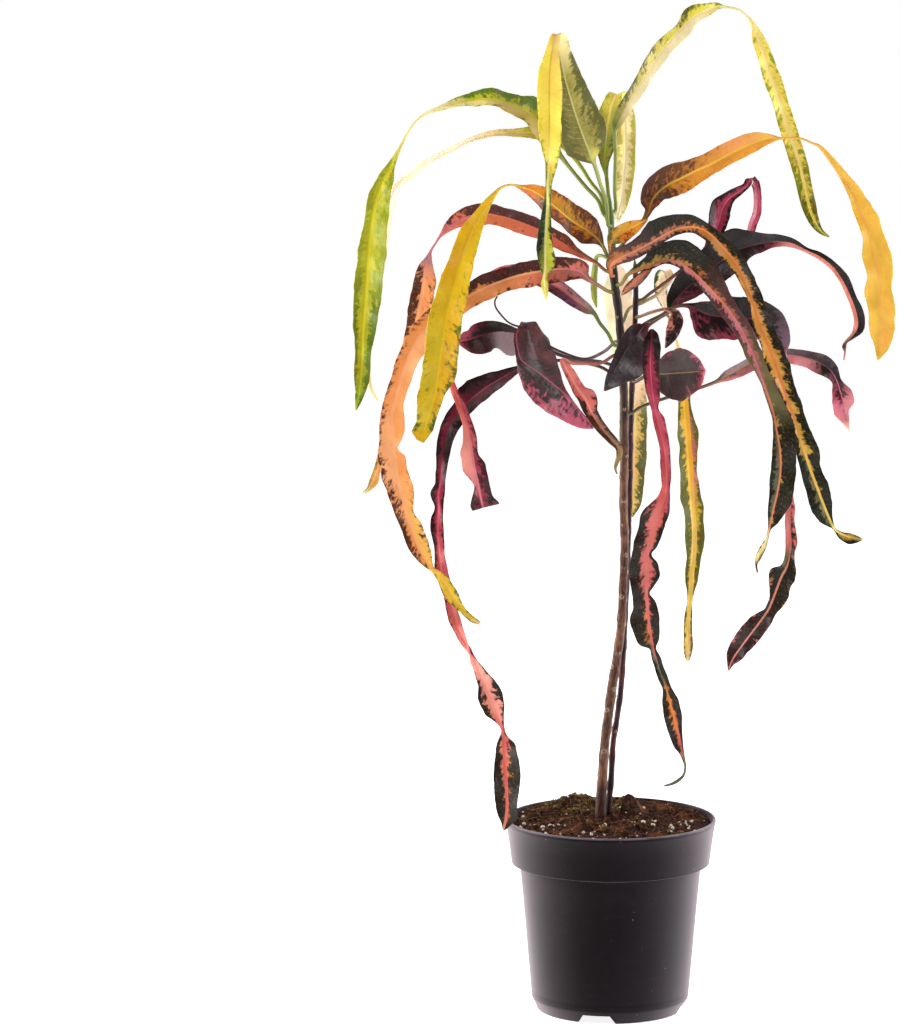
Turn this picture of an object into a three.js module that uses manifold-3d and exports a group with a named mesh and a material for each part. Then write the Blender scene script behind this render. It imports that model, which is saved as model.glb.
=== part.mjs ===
// Potted croton: a nursery pot of soil with two stems and twisted, interrupted strap leaves.
// Millimetres, +Z up, the origin on the floor under the middle of the pot.
import * as THREE from 'three';
import { mergeVertices } from 'three/addons/utils/BufferGeometryUtils.js';
import Module from 'manifold-3d';

const wasm = await Module();
wasm.setup();

// Driving dimensions of the pot.
const RIM_RADIUS = 85;
const POT_HEIGHT = 157;
const BAND_HEIGHT = 36;
const BAND_FOOT_RADIUS = 80;
const BODY_TOP_RADIUS = 73;
const BODY_FOOT_RADIUS = 63.5;
const FOOT_RADIUS = 58.5;
const BEVEL_HEIGHT = 10;
const WALL = 1.7;
const LIP = 0.7;
const FLOOR_LIFT = 7;
const FLOOR_THICKNESS = 2;
const PAD_RADIUS = 20;
const RING_FOOT_RADIUS = 53;
const POT_SEGMENTS = 52;

// Notches in the foot ring and drain holes in the floor.
const NOTCH_COUNT = 4;
const FIRST_NOTCH_ANGLE = -102;
const NOTCH_TOP_WIDTH = 22;
const NOTCH_FOOT_WIDTH = 32;
const NOTCH_DEPTH = 30;
const DRAIN_COUNT = 8;
const DRAIN_RADIUS = 4.5;
const DRAIN_CIRCLE = 38;

// Soil.
const GAP = 0.3;
const SOIL_EDGE_DROP = 5.5;
const SOIL_MOUND = 5;
const SOIL_PILE = 3.5;
const SOIL_RINGS = 12;
const SOIL_SEGMENTS = 52;
const CLUMPS = [
  { x: 14, y: 21, radius: 14, height: 14 },
  { x: -27, y: 52, radius: 19, height: 6 },
];
const STEM_SINK = 60;

// Leaves.
const MIDRIB_THICKNESS = 1.7;
const EDGE_THICKNESS = 0.75;
const BLADE_STEP = 9.5;
const THREAD_STEP = 15;
const THREAD_WIDTH = 3.4;
const FULL_BLADE_WIDTH = 8;
const FOLD = THREE.MathUtils.degToRad(16);
const WAVE = 1.3;
const WAVE_LENGTH = 34;
const COLLAR = 2.6;
const PETIOLE_RADIUS = 1.5;
const NARROWEST = 0.5;

// Leaves are laid out as a sculptor sees them: across and up in the upright plane through the stems,
// then slid back along the line of sight by a depth, so the front outline stays as it was drawn.
const EYE = new THREE.Vector3(-129.8, -4500, 1090);
// In a row's last place: the blade's upper face looks straight up there, at the crest of an arch.
const OVER = 'over';

const UP = new THREE.Vector3(0, 0, 1);

function slide(across, up, depth) {
  const point = new THREE.Vector3(across, 0, up);
  const sight = point.clone().sub(EYE);
  return point.add(sight.multiplyScalar(-depth / EYE.y));
}

// A value between listed stops, with no overshoot: each slope is the harmonic mean of its neighbours'.
function glide(stops, values, at) {
  const last = stops.length - 1;
  if (at <= stops[0]) return values[0];
  if (at >= stops[last]) return values[last];
  const slopes = [];
  for (let i = 0; i < last; i += 1) slopes.push((values[i + 1] - values[i]) / (stops[i + 1] - stops[i]));
  const tangent = (i) => {
    if (i === 0) return slopes[0];
    if (i === last) return slopes[last - 1];
    const product = slopes[i - 1] * slopes[i];
    return product <= 0 ? 0 : (2 * product) / (slopes[i - 1] + slopes[i]);
  };
  let i = 0;
  while (stops[i + 1] < at) i += 1;
  const span = stops[i + 1] - stops[i];
  const f = (at - stops[i]) / span;
  const f2 = f * f;
  const f3 = f2 * f;
  return values[i] * (2 * f3 - 3 * f2 + 1) + tangent(i) * span * (f3 - 2 * f2 + f)
    + values[i + 1] * (3 * f2 - 2 * f3) + tangent(i + 1) * span * (f3 - f2);
}

// A closed body through rings of equal count, with a cap of the given triangles at each end.
function loft(rings, cap, mirrored = []) {
  const count = rings[0].length;
  const positions = rings.flat().flatMap((point) => [point.x, point.y, point.z]);
  const index = [];
  for (let r = 0; r + 1 < rings.length; r += 1) {
    for (let k = 0; k < count; k += 1) {
      const a = r * count + k;
      const b = r * count + ((k + 1) % count);
      const c = a + count;
      const d = b + count;
      if (mirrored.includes(k)) index.push(a, b, c, b, d, c);
      else index.push(a, b, d, a, d, c);
    }
  }
  const end = (rings.length - 1) * count;
  for (const [i, j, k] of cap) {
    index.push(i, k, j);
    index.push(end + i, end + j, end + k);
  }
  const geometry = new THREE.BufferGeometry();
  geometry.setAttribute('position', new THREE.Float32BufferAttribute(positions, 3));
  geometry.setIndex(index);
  geometry.computeVertexNormals();
  return geometry;
}

// Fan of triangles over a ring's corners.
function fan(count) {
  return Array.from({ length: count - 2 }, (_, i) => [0, i + 1, i + 2]);
}

// Solid booleans.
function toSolid(geometry) {
  const bare = geometry.clone();
  bare.deleteAttribute('normal');
  bare.deleteAttribute('uv');
  const merged = mergeVertices(bare, 1e-4);
  const corners = merged.index.array;
  const triVerts = [];
  for (let i = 0; i < corners.length; i += 3) {
    const [a, b, c] = corners.slice(i, i + 3);
    if (a !== b && b !== c && c !== a) triVerts.push(a, b, c);
  }
  return new wasm.Manifold(new wasm.Mesh({
    numProp: 3,
    vertProperties: new Float32Array(merged.attributes.position.array),
    triVerts: new Uint32Array(triVerts),
  }));
}

function toGeometry(solid) {
  const mesh = solid.getMesh();
  const geometry = new THREE.BufferGeometry();
  geometry.setAttribute('position', new THREE.BufferAttribute(mesh.vertProperties, 3));
  geometry.setIndex(new THREE.BufferAttribute(mesh.triVerts, 1));
  geometry.computeVertexNormals();
  return geometry;
}

// A profile of (radius, height) points turned about +Z.
function turned(profile, segments) {
  const points = profile.map(([radius, height]) => new THREE.Vector2(radius, height));
  return new THREE.LatheGeometry(points, segments).rotateX(Math.PI / 2);
}

// Stems: rows of [across, up, depth, radius], read as slide() takes them.
const STEMS = {
  main: {
    sides: 10,
    rows: [
      [-8.6, 95, 0, 4], [-8, 163, 0, 4.5], [-6.7, 190, 0, 4.1], [-5, 217, 0, 3.9], [-2, 242, 0, 3.9],
      [0.8, 265, 0, 4], [3.3, 280, 0, 3.8], [5.6, 296, 0, 3.7], [8.2, 319, 0, 3.6], [9.4, 349, 0, 3.5],
      [10.3, 380, 0, 3.4], [9.2, 418, 0, 3.5], [9.8, 455, 0, 3.4], [9.6, 487, 0, 3.3], [7.5, 530, 0, 3.2],
      [4.3, 570, 0, 3.2], [2, 586, 0, 3.4], [0.3, 600, 0, 3.3], [-1, 620, 0, 3], [-1.8, 640, 0, 2.6],
      [-2.6, 652, 0, 2.2], [-3, 661, 0, 0.9],
    ],
  },
  second: {
    sides: 8,
    rows: [
      [-3, 100, 6, 2.3], [-1.6, 163, 6, 2.5], [0.3, 190, 6, 2.5], [1.7, 217, 6, 2.4], [5, 240, 7, 2.4],
      [8, 265, 8, 2.4], [10, 300, 9, 2.4], [12, 350, 10, 2.4], [14, 420, 10, 2.3], [15, 490, 10, 2.3],
      [17, 540, 10, 2.3], [18.3, 585, 10, 2.2], [17.6, 604, 10, 1.8], [17.2, 610, 10, 0.7],
    ],
  },
};
const SCAR_SPACING = 23;
const SCAR_SWELL = 0.35;
const STEM_STEP = 12.5;

function stemAt(stem, up) {
  const heights = stem.rows.map((row) => row[1]);
  const [across, depth, radius] = [0, 2, 3].map((k) => glide(heights, stem.rows.map((row) => row[k]), up));
  return { centre: slide(across, up, depth), radius };
}

function stemRings(stem, grow, from, to) {
  const count = Math.ceil((to - from) / STEM_STEP);
  return Array.from({ length: count + 1 }, (_, i) => {
    const up = from + ((to - from) * i) / count;
    const { centre, radius } = stemAt(stem, up);
    const swell = SCAR_SWELL * Math.max(0, Math.cos((2 * Math.PI * up) / SCAR_SPACING));
    const ringRadius = radius + grow + Math.min(swell, radius / 4);
    return Array.from({ length: stem.sides }, (__, k) => {
      const angle = (2 * Math.PI * k) / stem.sides;
      const outward = new THREE.Vector3(Math.cos(angle), Math.sin(angle), 0);
      return centre.clone().addScaledVector(outward, ringRadius);
    });
  });
}

function stemGeometry(stem) {
  const heights = stem.rows.map((row) => row[1]);
  return loft(stemRings(stem, 0, heights[0], heights[heights.length - 1]), fan(stem.sides));
}

// The plain hole that a stem stands in, from just under its foot to above the soil.
function stemHole(stem) {
  const foot = stem.rows[0][1];
  return toSolid(loft(stemRings(stem, GAP + 0.15, foot - GAP, foot + STEM_SINK + 60), fan(stem.sides)));
}

// Pot.
function potProfile() {
  const band = POT_HEIGHT - BAND_HEIGHT;
  const inner = FLOOR_LIFT + FLOOR_THICKNESS;
  return [
    [0, 0], [PAD_RADIUS, 0], [PAD_RADIUS + 3, FLOOR_LIFT], [RING_FOOT_RADIUS - 1, FLOOR_LIFT],
    [RING_FOOT_RADIUS + 1, 0], [FOOT_RADIUS, 0], [BODY_FOOT_RADIUS - 1.2, BEVEL_HEIGHT - 1.5],
    [BODY_FOOT_RADIUS, BEVEL_HEIGHT + 1], [BODY_TOP_RADIUS, band - 3], [BODY_TOP_RADIUS + 0.6, band - 1.4],
    [BAND_FOOT_RADIUS - 1.6, band], [BAND_FOOT_RADIUS - 0.4, band + 0.8], [BAND_FOOT_RADIUS, band + 2.4],
    [RIM_RADIUS - 0.7, POT_HEIGHT - 4.5], [RIM_RADIUS, POT_HEIGHT - 2.2],
    [RIM_RADIUS - 0.3, POT_HEIGHT - 0.5], [RIM_RADIUS - 1.1, POT_HEIGHT],
    [RIM_RADIUS - WALL - 0.2, POT_HEIGHT - 0.1],
    [RIM_RADIUS - WALL - LIP, POT_HEIGHT - 1.4], [BAND_FOOT_RADIUS - WALL, band + 3.4],
    [BAND_FOOT_RADIUS - WALL - 1, band + 1.9], [BODY_TOP_RADIUS - WALL, band - 0.8],
    [BODY_FOOT_RADIUS - WALL, inner + 2.5], [BODY_FOOT_RADIUS - WALL - 2.4, inner],
    [PAD_RADIUS + 1.5, inner], [PAD_RADIUS - 1.5, FLOOR_THICKNESS], [0, FLOOR_THICKNESS],
  ];
}

function potGeometry() {
  const notchShape = new THREE.Shape([
    new THREE.Vector2(-NOTCH_FOOT_WIDTH / 2, -1), new THREE.Vector2(NOTCH_FOOT_WIDTH / 2, -1),
    new THREE.Vector2(NOTCH_TOP_WIDTH / 2, FLOOR_LIFT), new THREE.Vector2(-NOTCH_TOP_WIDTH / 2, FLOOR_LIFT),
  ]);
  let solid = toSolid(turned(potProfile(), POT_SEGMENTS));
  for (let i = 0; i < NOTCH_COUNT; i += 1) {
    const angle = THREE.MathUtils.degToRad(FIRST_NOTCH_ANGLE + (360 / NOTCH_COUNT) * i);
    const notch = new THREE.ExtrudeGeometry(notchShape, { depth: NOTCH_DEPTH, bevelEnabled: false })
      .rotateX(Math.PI / 2)
      .translate(0, RING_FOOT_RADIUS + NOTCH_DEPTH - 4, 0)
      .rotateZ(angle - Math.PI / 2);
    solid = solid.subtract(toSolid(notch));
  }
  for (let i = 0; i < DRAIN_COUNT; i += 1) {
    const angle = (2 * Math.PI * (i + 0.5)) / DRAIN_COUNT;
    const drain = new THREE.CylinderGeometry(DRAIN_RADIUS, DRAIN_RADIUS, 3 * FLOOR_LIFT, 16)
      .rotateX(Math.PI / 2)
      .translate(DRAIN_CIRCLE * Math.cos(angle), DRAIN_CIRCLE * Math.sin(angle), FLOOR_LIFT);
    solid = solid.subtract(toSolid(drain));
  }
  return toGeometry(solid);
}

// Soil: crumbly mound, level with the lip round the stems, lower at the wall and piled up at the back.
function soilTop(x, y) {
  const radius = Math.hypot(x, y);
  const mound = SOIL_MOUND * Math.cos((Math.min(radius, RIM_RADIUS) / RIM_RADIUS) * (Math.PI / 2)) ** 0.8;
  const crumbs = 1.5 * Math.sin(x / 6.3 + 1.1) * Math.cos(y / 7.1) + 0.9 * Math.sin(x / 3.7 - y / 4.9 + 2);
  let clump = 0;
  for (const { x: cx, y: cy, radius: reach, height } of CLUMPS) {
    clump += height * Math.exp(-1.8 * (Math.hypot(x - cx, y - cy) / reach) ** 3);
  }
  const calm = THREE.MathUtils.smoothstep(RIM_RADIUS - radius, 5, 16);
  const behind = THREE.MathUtils.smoothstep(y, 8, 50) * THREE.MathUtils.smoothstep(radius, 40, 66);
  return POT_HEIGHT - SOIL_EDGE_DROP + mound + crumbs * calm + clump + SOIL_PILE * behind;
}

function soilGeometry() {
  const inner = FLOOR_LIFT + FLOOR_THICKNESS + GAP;
  const band = POT_HEIGHT - BAND_HEIGHT;
  const edgeHeight = POT_HEIGHT - SOIL_EDGE_DROP;
  const slope = (RIM_RADIUS - LIP - BAND_FOOT_RADIUS) / (BAND_HEIGHT - 4);
  const edgeRadius = BAND_FOOT_RADIUS - WALL + slope * (edgeHeight - band - 3.4) - 2 * GAP;
  const profile = [
    [0, FLOOR_THICKNESS + GAP], [PAD_RADIUS - 1.5 - GAP, FLOOR_THICKNESS + GAP], [PAD_RADIUS + 1.3, inner],
    [BODY_FOOT_RADIUS - WALL - 2.7, inner], [BODY_FOOT_RADIUS - WALL - 2 * GAP, inner + 2.6],
    [BODY_TOP_RADIUS - WALL - 2 * GAP, band - 0.4], [BAND_FOOT_RADIUS - WALL - 1.7, band + 2.4],
    [BAND_FOOT_RADIUS - WALL - 2 * GAP, band + 3.8], [edgeRadius, edgeHeight - 1],
  ];
  const topStart = profile.length;
  for (let i = SOIL_RINGS; i >= 0; i -= 1) profile.push([((edgeRadius - 0.2) * i) / SOIL_RINGS, edgeHeight]);
  const geometry = turned(profile, SOIL_SEGMENTS);
  const place = geometry.attributes.position;
  for (let i = 0; i < place.count; i += 1) {
    if (i % profile.length >= topStart) place.setZ(i, soilTop(place.getX(i), place.getY(i)));
  }
  let solid = toSolid(geometry);
  for (const stem of Object.values(STEMS)) solid = solid.subtract(stemHole(stem));
  return toGeometry(solid);
}

// Leaves. Each row is [across, up, depth, a, b, turn]. a and b are the half widths to either side of the
// midrib as seen from the front: on a hanging stretch a is to the left, on one that goes left it is above,
// on one that goes right it is below, on one that rises it is to the right. turn is the angle in degrees
// by which the upper face is turned away from the viewer, towards the a side; at 180 the underside shows.
const LEAVES = {
  crown_right_leaf: {
    stem: 'main', at: 648, colour: 'lime',
    rows: [
      [1, 665, 3, 1.4, 1.4, 0], [1.5, 695, 12, 1.4, 1.4, 0], [1, 712, 18, 1.8, 1.8, 0],
      [3, 717, 20, 3, 5, 0], [11, 733, 28, 5, 6, 10], [20, 748, 36, 6, 5.5, 20], [32, 767, 46, 6.5, 8, 20],
      [42, 781, 55, 7, 7, 10], [52, 792, 64, 8, 5, 0], [62, 802, 72, 6, 9, 0], [73, 808, 80, 5, 5.5, 0],
      [82, 811, 86, 2.5, 3, 0], [88, 810.5, 88, 0.9, 0.9, 0], [97, 809, 90, 0.8, 0.8, 0],
      [104, 804.5, 92, 0.8, 0.8, 0], [109, 798, 93, 1.6, 2, 0], [115, 783, 94, 5.2, 5.6, -10],
      [119, 771, 95, 5.4, 7, -20], [124, 755, 95, 5.6, 8.2, -25], [129, 742, 94, 6, 7.5, -25],
      [133, 731, 93, 6, 7, -25], [137, 718, 91, 6.5, 7, -20], [141, 706, 89, 7, 7.2, -15],
      [145, 694, 86, 7, 7, -10], [149, 681, 82, 7, 6.6, -10], [152, 668, 78, 6.5, 6.2, -10],
      [155, 655, 74, 6, 6, -10], [159, 643, 70, 5, 4.5, -10], [165, 633, 66, 2.5, 2, 0],
      [172, 628, 62, 0.6, 0.6, 0],
    ],
  },
  crown_fold_leaf: {
    stem: 'main', at: 637, colour: 'gold',
    rows: [
      [-5.6, 656, -9, 1.5, 1.5, 180], [-10.6, 671, -12, 1.5, 1.5, 180], [-15.5, 687, -15, 1.8, 1.8, 180],
      [-17.5, 691, -16, 8, 6, 180], [-20, 698, -17, 17, 15, 180], [-24, 708, -18, 18, 20, 180],
      [-29, 722, -19, 16, 19, 180], [-34, 738, -20, 14, 16.5, 180], [-39, 756, -21, 12, 13, 180],
      [-42, 772, -23, 9, 9, 180], [-43.5, 783, -28, 5.5, 7, 180], [-45.2, 788.7, -35, 3.2, 3.8, OVER],
      [-47.8, 782, -42, 4.2, 4.8, 0], [-49.6, 771, -45, 6, 6.5, 0], [-51, 757, -46, 9, 9, 5],
      [-51, 740, -47, 9.5, 10, 10], [-51, 720, -48, 9, 9.5, 10], [-51, 700, -50, 6.5, 9, 10],
      [-51, 685, -52, 3, 6.5, 10], [-52, 670, -54, 2, 3, 10], [-52, 655, -56, 3.5, 2.5, 10],
      [-53, 640, -58, 5, 3.5, 10], [-54, 622, -60, 7, 6, 10], [-54, 610, -62, 5.5, 8, 10],
      [-54, 601, -63, 3.5, 5, 10], [-54.3, 597, -63.5, 1.6, 1.6, 10], [-54.5, 590, -64, 3, 3, 10],
      [-53.6, 583, -65, 1.8, 1.8, 10], [-53.2, 578, -65.5, 0.6, 0.6, 10],
    ],
  },
  arch_left_leaf: {
    stem: 'main', at: 644.5, colour: 'lime',
    rows: [
      [-12, 657, 5, 1.5, 1.5, 0], [-22, 668, 8, 1.5, 1.5, 0], [-32, 680, 12, 1.5, 1.5, 10],
      [-42, 693, 15, 1.9, 1.9, 20], [-48, 702, 18, 6, 6, 30], [-56, 715, 22, 12, 9, 35],
      [-66, 726, 26, 13, 8, 35], [-80, 733, 32, 9.5, 6.5, 35], [-98, 737.5, 40, 8.5, 5, 35],
      [-115, 736, 46, 7, 4, 35], [-133, 732, 50, 2.5, 2, 30], [-145, 728, 52, 1.5, 1.2, 20],
      [-152, 724.5, 53, 1, 1, 10], [-158, 719, 53, 0.9, 0.9, 0], [-164, 710, 53, 0.9, 0.9, 0],
      [-169, 700, 52, 1.2, 1.2, 0], [-176, 686, 51, 3, 3, 10], [-181, 676, 50, 5.5, 7, 15],
      [-187, 660, 49, 7.5, 10, 20], [-191, 643, 48, 7, 12.5, 20], [-193.5, 622, 47, 8.5, 13.5, 20],
      [-195, 603, 46, 10, 13, 20], [-196, 585, 45, 10.5, 12, 20], [-197.5, 567, 44, 10, 11, 15],
      [-199, 550, 43, 7.5, 9.5, 10], [-199.5, 535, 42, 6.5, 7, 10], [-200.5, 518, 41, 6, 7, 10],
      [-202.5, 503, 40, 3.5, 5, 10], [-205, 489, 39, 0.6, 0.6, 10],
    ],
  },
  arch_left_back_leaf: {
    stem: 'main', at: 639.5, colour: 'pale',
    rows: [
      [-10, 661, 14, 1.4, 1.4, 0], [-18, 672, 20, 1.4, 1.4, 10], [-27, 686, 28, 1.5, 1.5, 20],
      [-38, 699, 36, 2, 2, 30], [-46, 705, 42, 5, 4, 40], [-58, 710.5, 48, 7, 6, 45],
      [-75, 710.5, 56, 4.5, 4, 55], [-95, 709.5, 66, 3.5, 3, 60], [-110, 706, 74, 3, 3, 60],
      [-125, 699, 82, 2.7, 2.7, 60], [-140, 691.5, 90, 2.8, 2.8, 55], [-150, 686, 96, 2.8, 2.8, 50],
      [-160, 678, 101, 2.8, 2.8, 45], [-170, 670, 105, 3, 3, 35], [-178, 655, 108, 5, 5, 25],
      [-184, 630, 111, 7, 6, 15], [-188, 600, 112, 8, 5, 10], [-191, 570, 112, 8, 4.5, 10],
      [-194, 540, 111, 6, 2, 10], [-195, 518, 110, 3, 2, 10], [-192, 504, 109, 1.5, 1.5, 10],
      [-187, 496, 109, 0.6, 0.6, 10],
    ],
  },
  crown_back_leaf: {
    stem: 'main', at: 651, colour: 'pale',
    rows: [
      [-4, 662, 14, 1.4, 1.4, 0], [-5.5, 676, 28, 1.5, 1.5, 0], [-7, 688, 38, 4, 4, 0],
      [-6, 705, 46, 9, 9, 0], [-4, 722, 52, 8, 9, 0], [-1, 735, 57, 7, 7, 0], [3, 741.5, 64, 6, 6, OVER],
      [7, 736, 71, 6, 6, 180], [9, 722, 74, 8.5, 7.5, 180], [10, 705, 76, 8, 8, 185],
      [9.5, 688, 77, 8, 8, 185], [8, 670, 78, 7.5, 7, 185], [6, 655, 78, 6, 6, 185],
      [4, 645, 78, 3, 3, 185], [3, 638.5, 78, 0.6, 0.6, 185],
    ],
  },
  right_orange_leaf: {
    stem: 'main', at: 618, colour: 'orange',
    rows: [
      [10, 625, -10, 1.4, 1.4, 0], [20, 635, -13, 1.5, 1.5, 0], [28, 648, -15, 2.4, 3, 0],
      [30, 655, -16, 6, 9, 5], [35, 663, -17, 8, 13, 10], [44, 670, -18, 11, 14, 10],
      [55, 675.5, -19, 12, 13, 10], [66, 681, -21, 10, 10.5, 10], [78, 686.5, -22, 8, 9.5, 10],
      [90, 693, -24, 8, 10, 10], [102, 699, -26, 7.5, 9.5, 10], [114, 704, -28, 6.5, 7.5, 5],
      [124, 706.5, -29, 4, 3.5, 0], [133, 706.5, -30, 1, 1, 0], [141, 707, -30, 0.8, 0.8, 0],
      [150, 706, -30, 0.8, 0.8, 0], [157, 703, -30, 0.8, 0.8, 0], [163, 700.5, -30, 1.3, 1.3, 0],
      [172, 690, -30, 1.8, 2.8, 0], [181, 678, -30, 2.5, 4, -5], [189, 664, -31, 3.5, 7.5, -10],
      [196, 650, -32, 5.2, 9.6, -15], [200, 640, -33, 5.5, 11, -15], [204, 628, -34, 5.8, 12, -15],
      [208, 612, -35, 9.5, 13, -15], [211, 598, -36, 8.8, 12.3, -15], [212.5, 585, -37, 11.8, 10, -15],
      [213, 570, -38, 9.5, 12, -10], [213.5, 555, -38, 9, 11.5, -10], [213, 542, -38, 4.5, 8.5, -5],
      [212, 529.5, -38, 1, 1, 0],
    ],
  },
  left_yellow_leaf: {
    stem: 'main', at: 611, colour: 'gold',
    rows: [
      [-8, 620, -14, 1.5, 1.5, 0], [-13, 627, -19, 6, 5, 5], [-22, 634, -24, 12, 11, 10],
      [-33, 641, -29, 13, 9, 15], [-44, 650, -35, 11.5, 8.5, 15], [-55, 659, -42, 9, 8, 15],
      [-65, 665, -49, 5.5, 6, 10], [-74, 668, -55, 1.5, 2, 5], [-80, 669.5, -58, 0.8, 0.8, 0],
      [-87, 668.5, -62, 0.8, 0.8, 0], [-92, 665, -65, 1.3, 1.3, 0], [-98, 656, -69, 4, 2, 5],
      [-105, 645, -74, 6, 4.5, 10], [-112, 632, -79, 9, 7, 15], [-117, 620, -83, 9.5, 8.5, 15],
      [-122, 605, -87, 10, 10.5, 15], [-126, 590, -90, 12, 11.5, 15], [-130, 575, -92, 13, 12.5, 15],
      [-133, 560, -94, 14, 12, 15], [-135.5, 545, -95, 14, 13.5, 15], [-137.5, 530, -95, 13.5, 14, 10],
      [-139.5, 515, -95, 13.5, 12.5, 10], [-142, 500, -95, 13.5, 7, 5], [-146, 487, -95, 10.5, 6.5, 0],
      [-149, 477, -94, 8, 6.5, 0], [-151.5, 469, -94, 9.5, 4.5, 0], [-154, 464, -94, 3, 3, 0],
    ],
  },
  crown_small_leaf: {
    stem: 'main', at: 604, colour: 'orange',
    rows: [
      [-1, 616, -12, 1.4, 1.4, 0], [-2, 622, -15, 2.5, 2.5, 0], [2, 627.5, -18, 6, 6.5, 0],
      [9, 632, -21, 7, 7, 0], [16, 636, -24, 6, 5.5, 0], [22, 639.5, -27, 3.5, 2.5, 0],
      [27.5, 642, -29, 0.6, 0.6, 0],
    ],
  },
  right_front_leaf: {
    stem: 'main', at: 597, colour: 'olive',
    rows: [
      [-2, 606, -11, 3, 4, 0], [5, 611, -15, 5, 9, 0], [14, 615, -19, 6, 8, 0], [26, 621, -24, 6, 10, 0],
      [38, 628, -30, 5, 15, 0], [50, 634, -36, 4.5, 12, 5], [64, 636, -44, 5, 9, 5],
      [76, 631, -52, 6, 6, 0], [88, 619, -60, 7, 7.5, -5], [98, 606, -68, 5.5, 8, -10],
      [106, 590, -77, 3.5, 8, -15], [112, 573, -85, 3, 9.5, -20], [118, 555, -92, 4.5, 9.5, -20],
      [124, 540, -97, 5.5, 11, -20], [129.5, 527, -100, 6.5, 10.5, -20], [135, 511, -103, 5.5, 10, -20],
      [140, 497, -105, 3, 9.5, -20], [145, 483, -107, 2.4, 9, -20], [149, 470, -109, 2.4, 10, -15],
      [154, 455, -110, 6.5, 11, -10], [159, 440, -110, 8, 8.5, -10], [164, 427, -110, 9, 9, -5],
      [169, 414, -109, 10.5, 7.5, 0], [174, 402, -108, 8, 3, 0], [178.5, 393, -108, 1, 1, 0],
      [184, 389, -107, 4, 1.5, 0], [190, 386.5, -106, 5.5, 3, 0], [196, 385, -105, 3.5, 2.5, 0],
      [201, 384.5, -104, 0.6, 0.6, 0],
    ],
  },
  right_second_leaf: {
    stem: 'main', at: 590, colour: 'olive',
    rows: [
      [12, 598, -10, 1.5, 1.5, 0], [20, 602, -13, 2, 4, 0], [30, 605, -16, 3, 9, 0],
      [42, 610, -20, 3.5, 14, 0], [54, 607, -24, 4, 18, 5], [66, 598, -29, 5, 18, 5],
      [78, 586, -35, 6, 14, 0], [88, 575, -41, 7, 9, 0], [97, 563, -47, 7, 7, -5],
      [105, 549, -53, 6, 8, -10], [111, 536, -57, 6, 8, -15], [116, 523, -60, 3.5, 8, -15],
      [121, 510, -62, 2.5, 9, -15], [125, 498, -64, 2, 11, -10], [129, 485, -66, 2, 14, -10],
      [131.5, 472, -67, 3, 15, -5], [134, 458, -68, 6, 13, 0], [135, 445, -68, 7.5, 12, 0],
      [134, 432, -68, 8, 12.5, 0], [132, 420, -67, 6, 12.5, 0], [129.5, 409, -66, 4.5, 10, 0],
      [127.5, 399, -65, 2.5, 5.5, 0], [125.8, 391, -64, 1, 1, 0], [124, 384, -63, 1.4, 1.4, 0],
      [120.5, 376, -62, 2.5, 2.5, 0], [117.5, 370, -62, 2, 2.5, 0], [116, 364, -61, 0.9, 0.9, 0],
      [117, 357.5, -61, 0.6, 0.6, 0],
    ],
  },
  back_magenta_leaf: {
    stem: 'second', at: 577, colour: 'crimson',
    rows: [
      [30, 583, 14, 1.3, 1.3, 0], [45, 594, 19, 1.3, 1.3, 0], [62, 608, 31, 1.4, 1.4, 0],
      [74, 619, 44, 2, 2, 0], [79, 628, 51, 6, 6, 10], [84, 640, 56, 7.5, 9, 20],
      [86.5, 650, 58, 7, 9.5, 20], [92, 658.5, 60, 5, 6, 10], [100, 664, 62, 3, 4.5, 0],
      [105.5, 668.5, 64, 2.5, 3, 0], [110, 674.5, 66, 4.5, 4.5, OVER], [113.6, 667, 69, 3, 3.5, 0],
      [115, 655, 70, 3.5, 3, 0], [114, 646, 71, 3.5, 3.5, 0], [111, 638, 72, 3.5, 3.5, 0],
      [109, 630, 72, 3, 3, 0], [107, 622, 72, 0.6, 0.6, 0],
    ],
  },
  back_dark_leaf: {
    stem: 'second', at: 543, colour: 'maroon',
    rows: [
      [28, 556, 12, 1.3, 1.3, 0], [37, 563, 13, 1.3, 1.3, 0], [44, 568, 15, 2, 2, 0],
      [50, 578, 18, 6, 8, 0], [60, 588, 21, 11, 13, 0], [72, 598, 24, 13, 14, 0], [84, 607, 27, 15, 17, 0],
      [95, 616, 30, 16, 18, 5], [106, 620, 33, 10, 14, 10], [118, 623, 36, 7, 8.5, 15],
      [130, 624, 38, 4, 6, 15], [142, 622.5, 40, 3.2, 4.5, 10], [154, 617, 42, 1.8, 2.5, 5],
      [164, 612, 43, 2, 4, 0], [174, 604.5, 44, 2.2, 4.5, 0], [182, 594, 45, 2.2, 6, 0],
      [189, 580, 46, 2.5, 5, 0], [194, 566, 47, 2.5, 6.5, 0], [195, 556, 47, 3, 6, 0],
      [191, 549, 47, 1.5, 3, 0], [186, 543.5, 47, 1.2, 1.2, 0], [184.7, 540, 47, 1.9, 1.9, 0],
      [185.4, 536, 47, 0.8, 0.8, 0], [184.6, 529.5, 47, 0.7, 0.7, 0],
    ],
  },
  back_pink_leaf: {
    stem: 'main', at: 486, colour: 'maroon',
    rows: [
      [22, 491, 2, 1.3, 1.3, 0], [42, 498.5, 9, 1.3, 1.3, 0], [62.8, 504.6, 16, 1.3, 1.3, 0],
      [82, 511.5, 22, 1.5, 1.5, 0], [93, 517, 26, 4.5, 5, 0], [102, 522, 29, 6, 5, 5],
      [112, 527, 32, 6, 5, 5], [126, 532, 35, 6.5, 6, 5], [140, 533, 38, 6.5, 5.5, 5],
      [154, 531, 40, 7.5, 6, 5], [166, 526.5, 42, 8.5, 8, 0], [174, 521, 43, 7, 6.5, 0],
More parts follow.
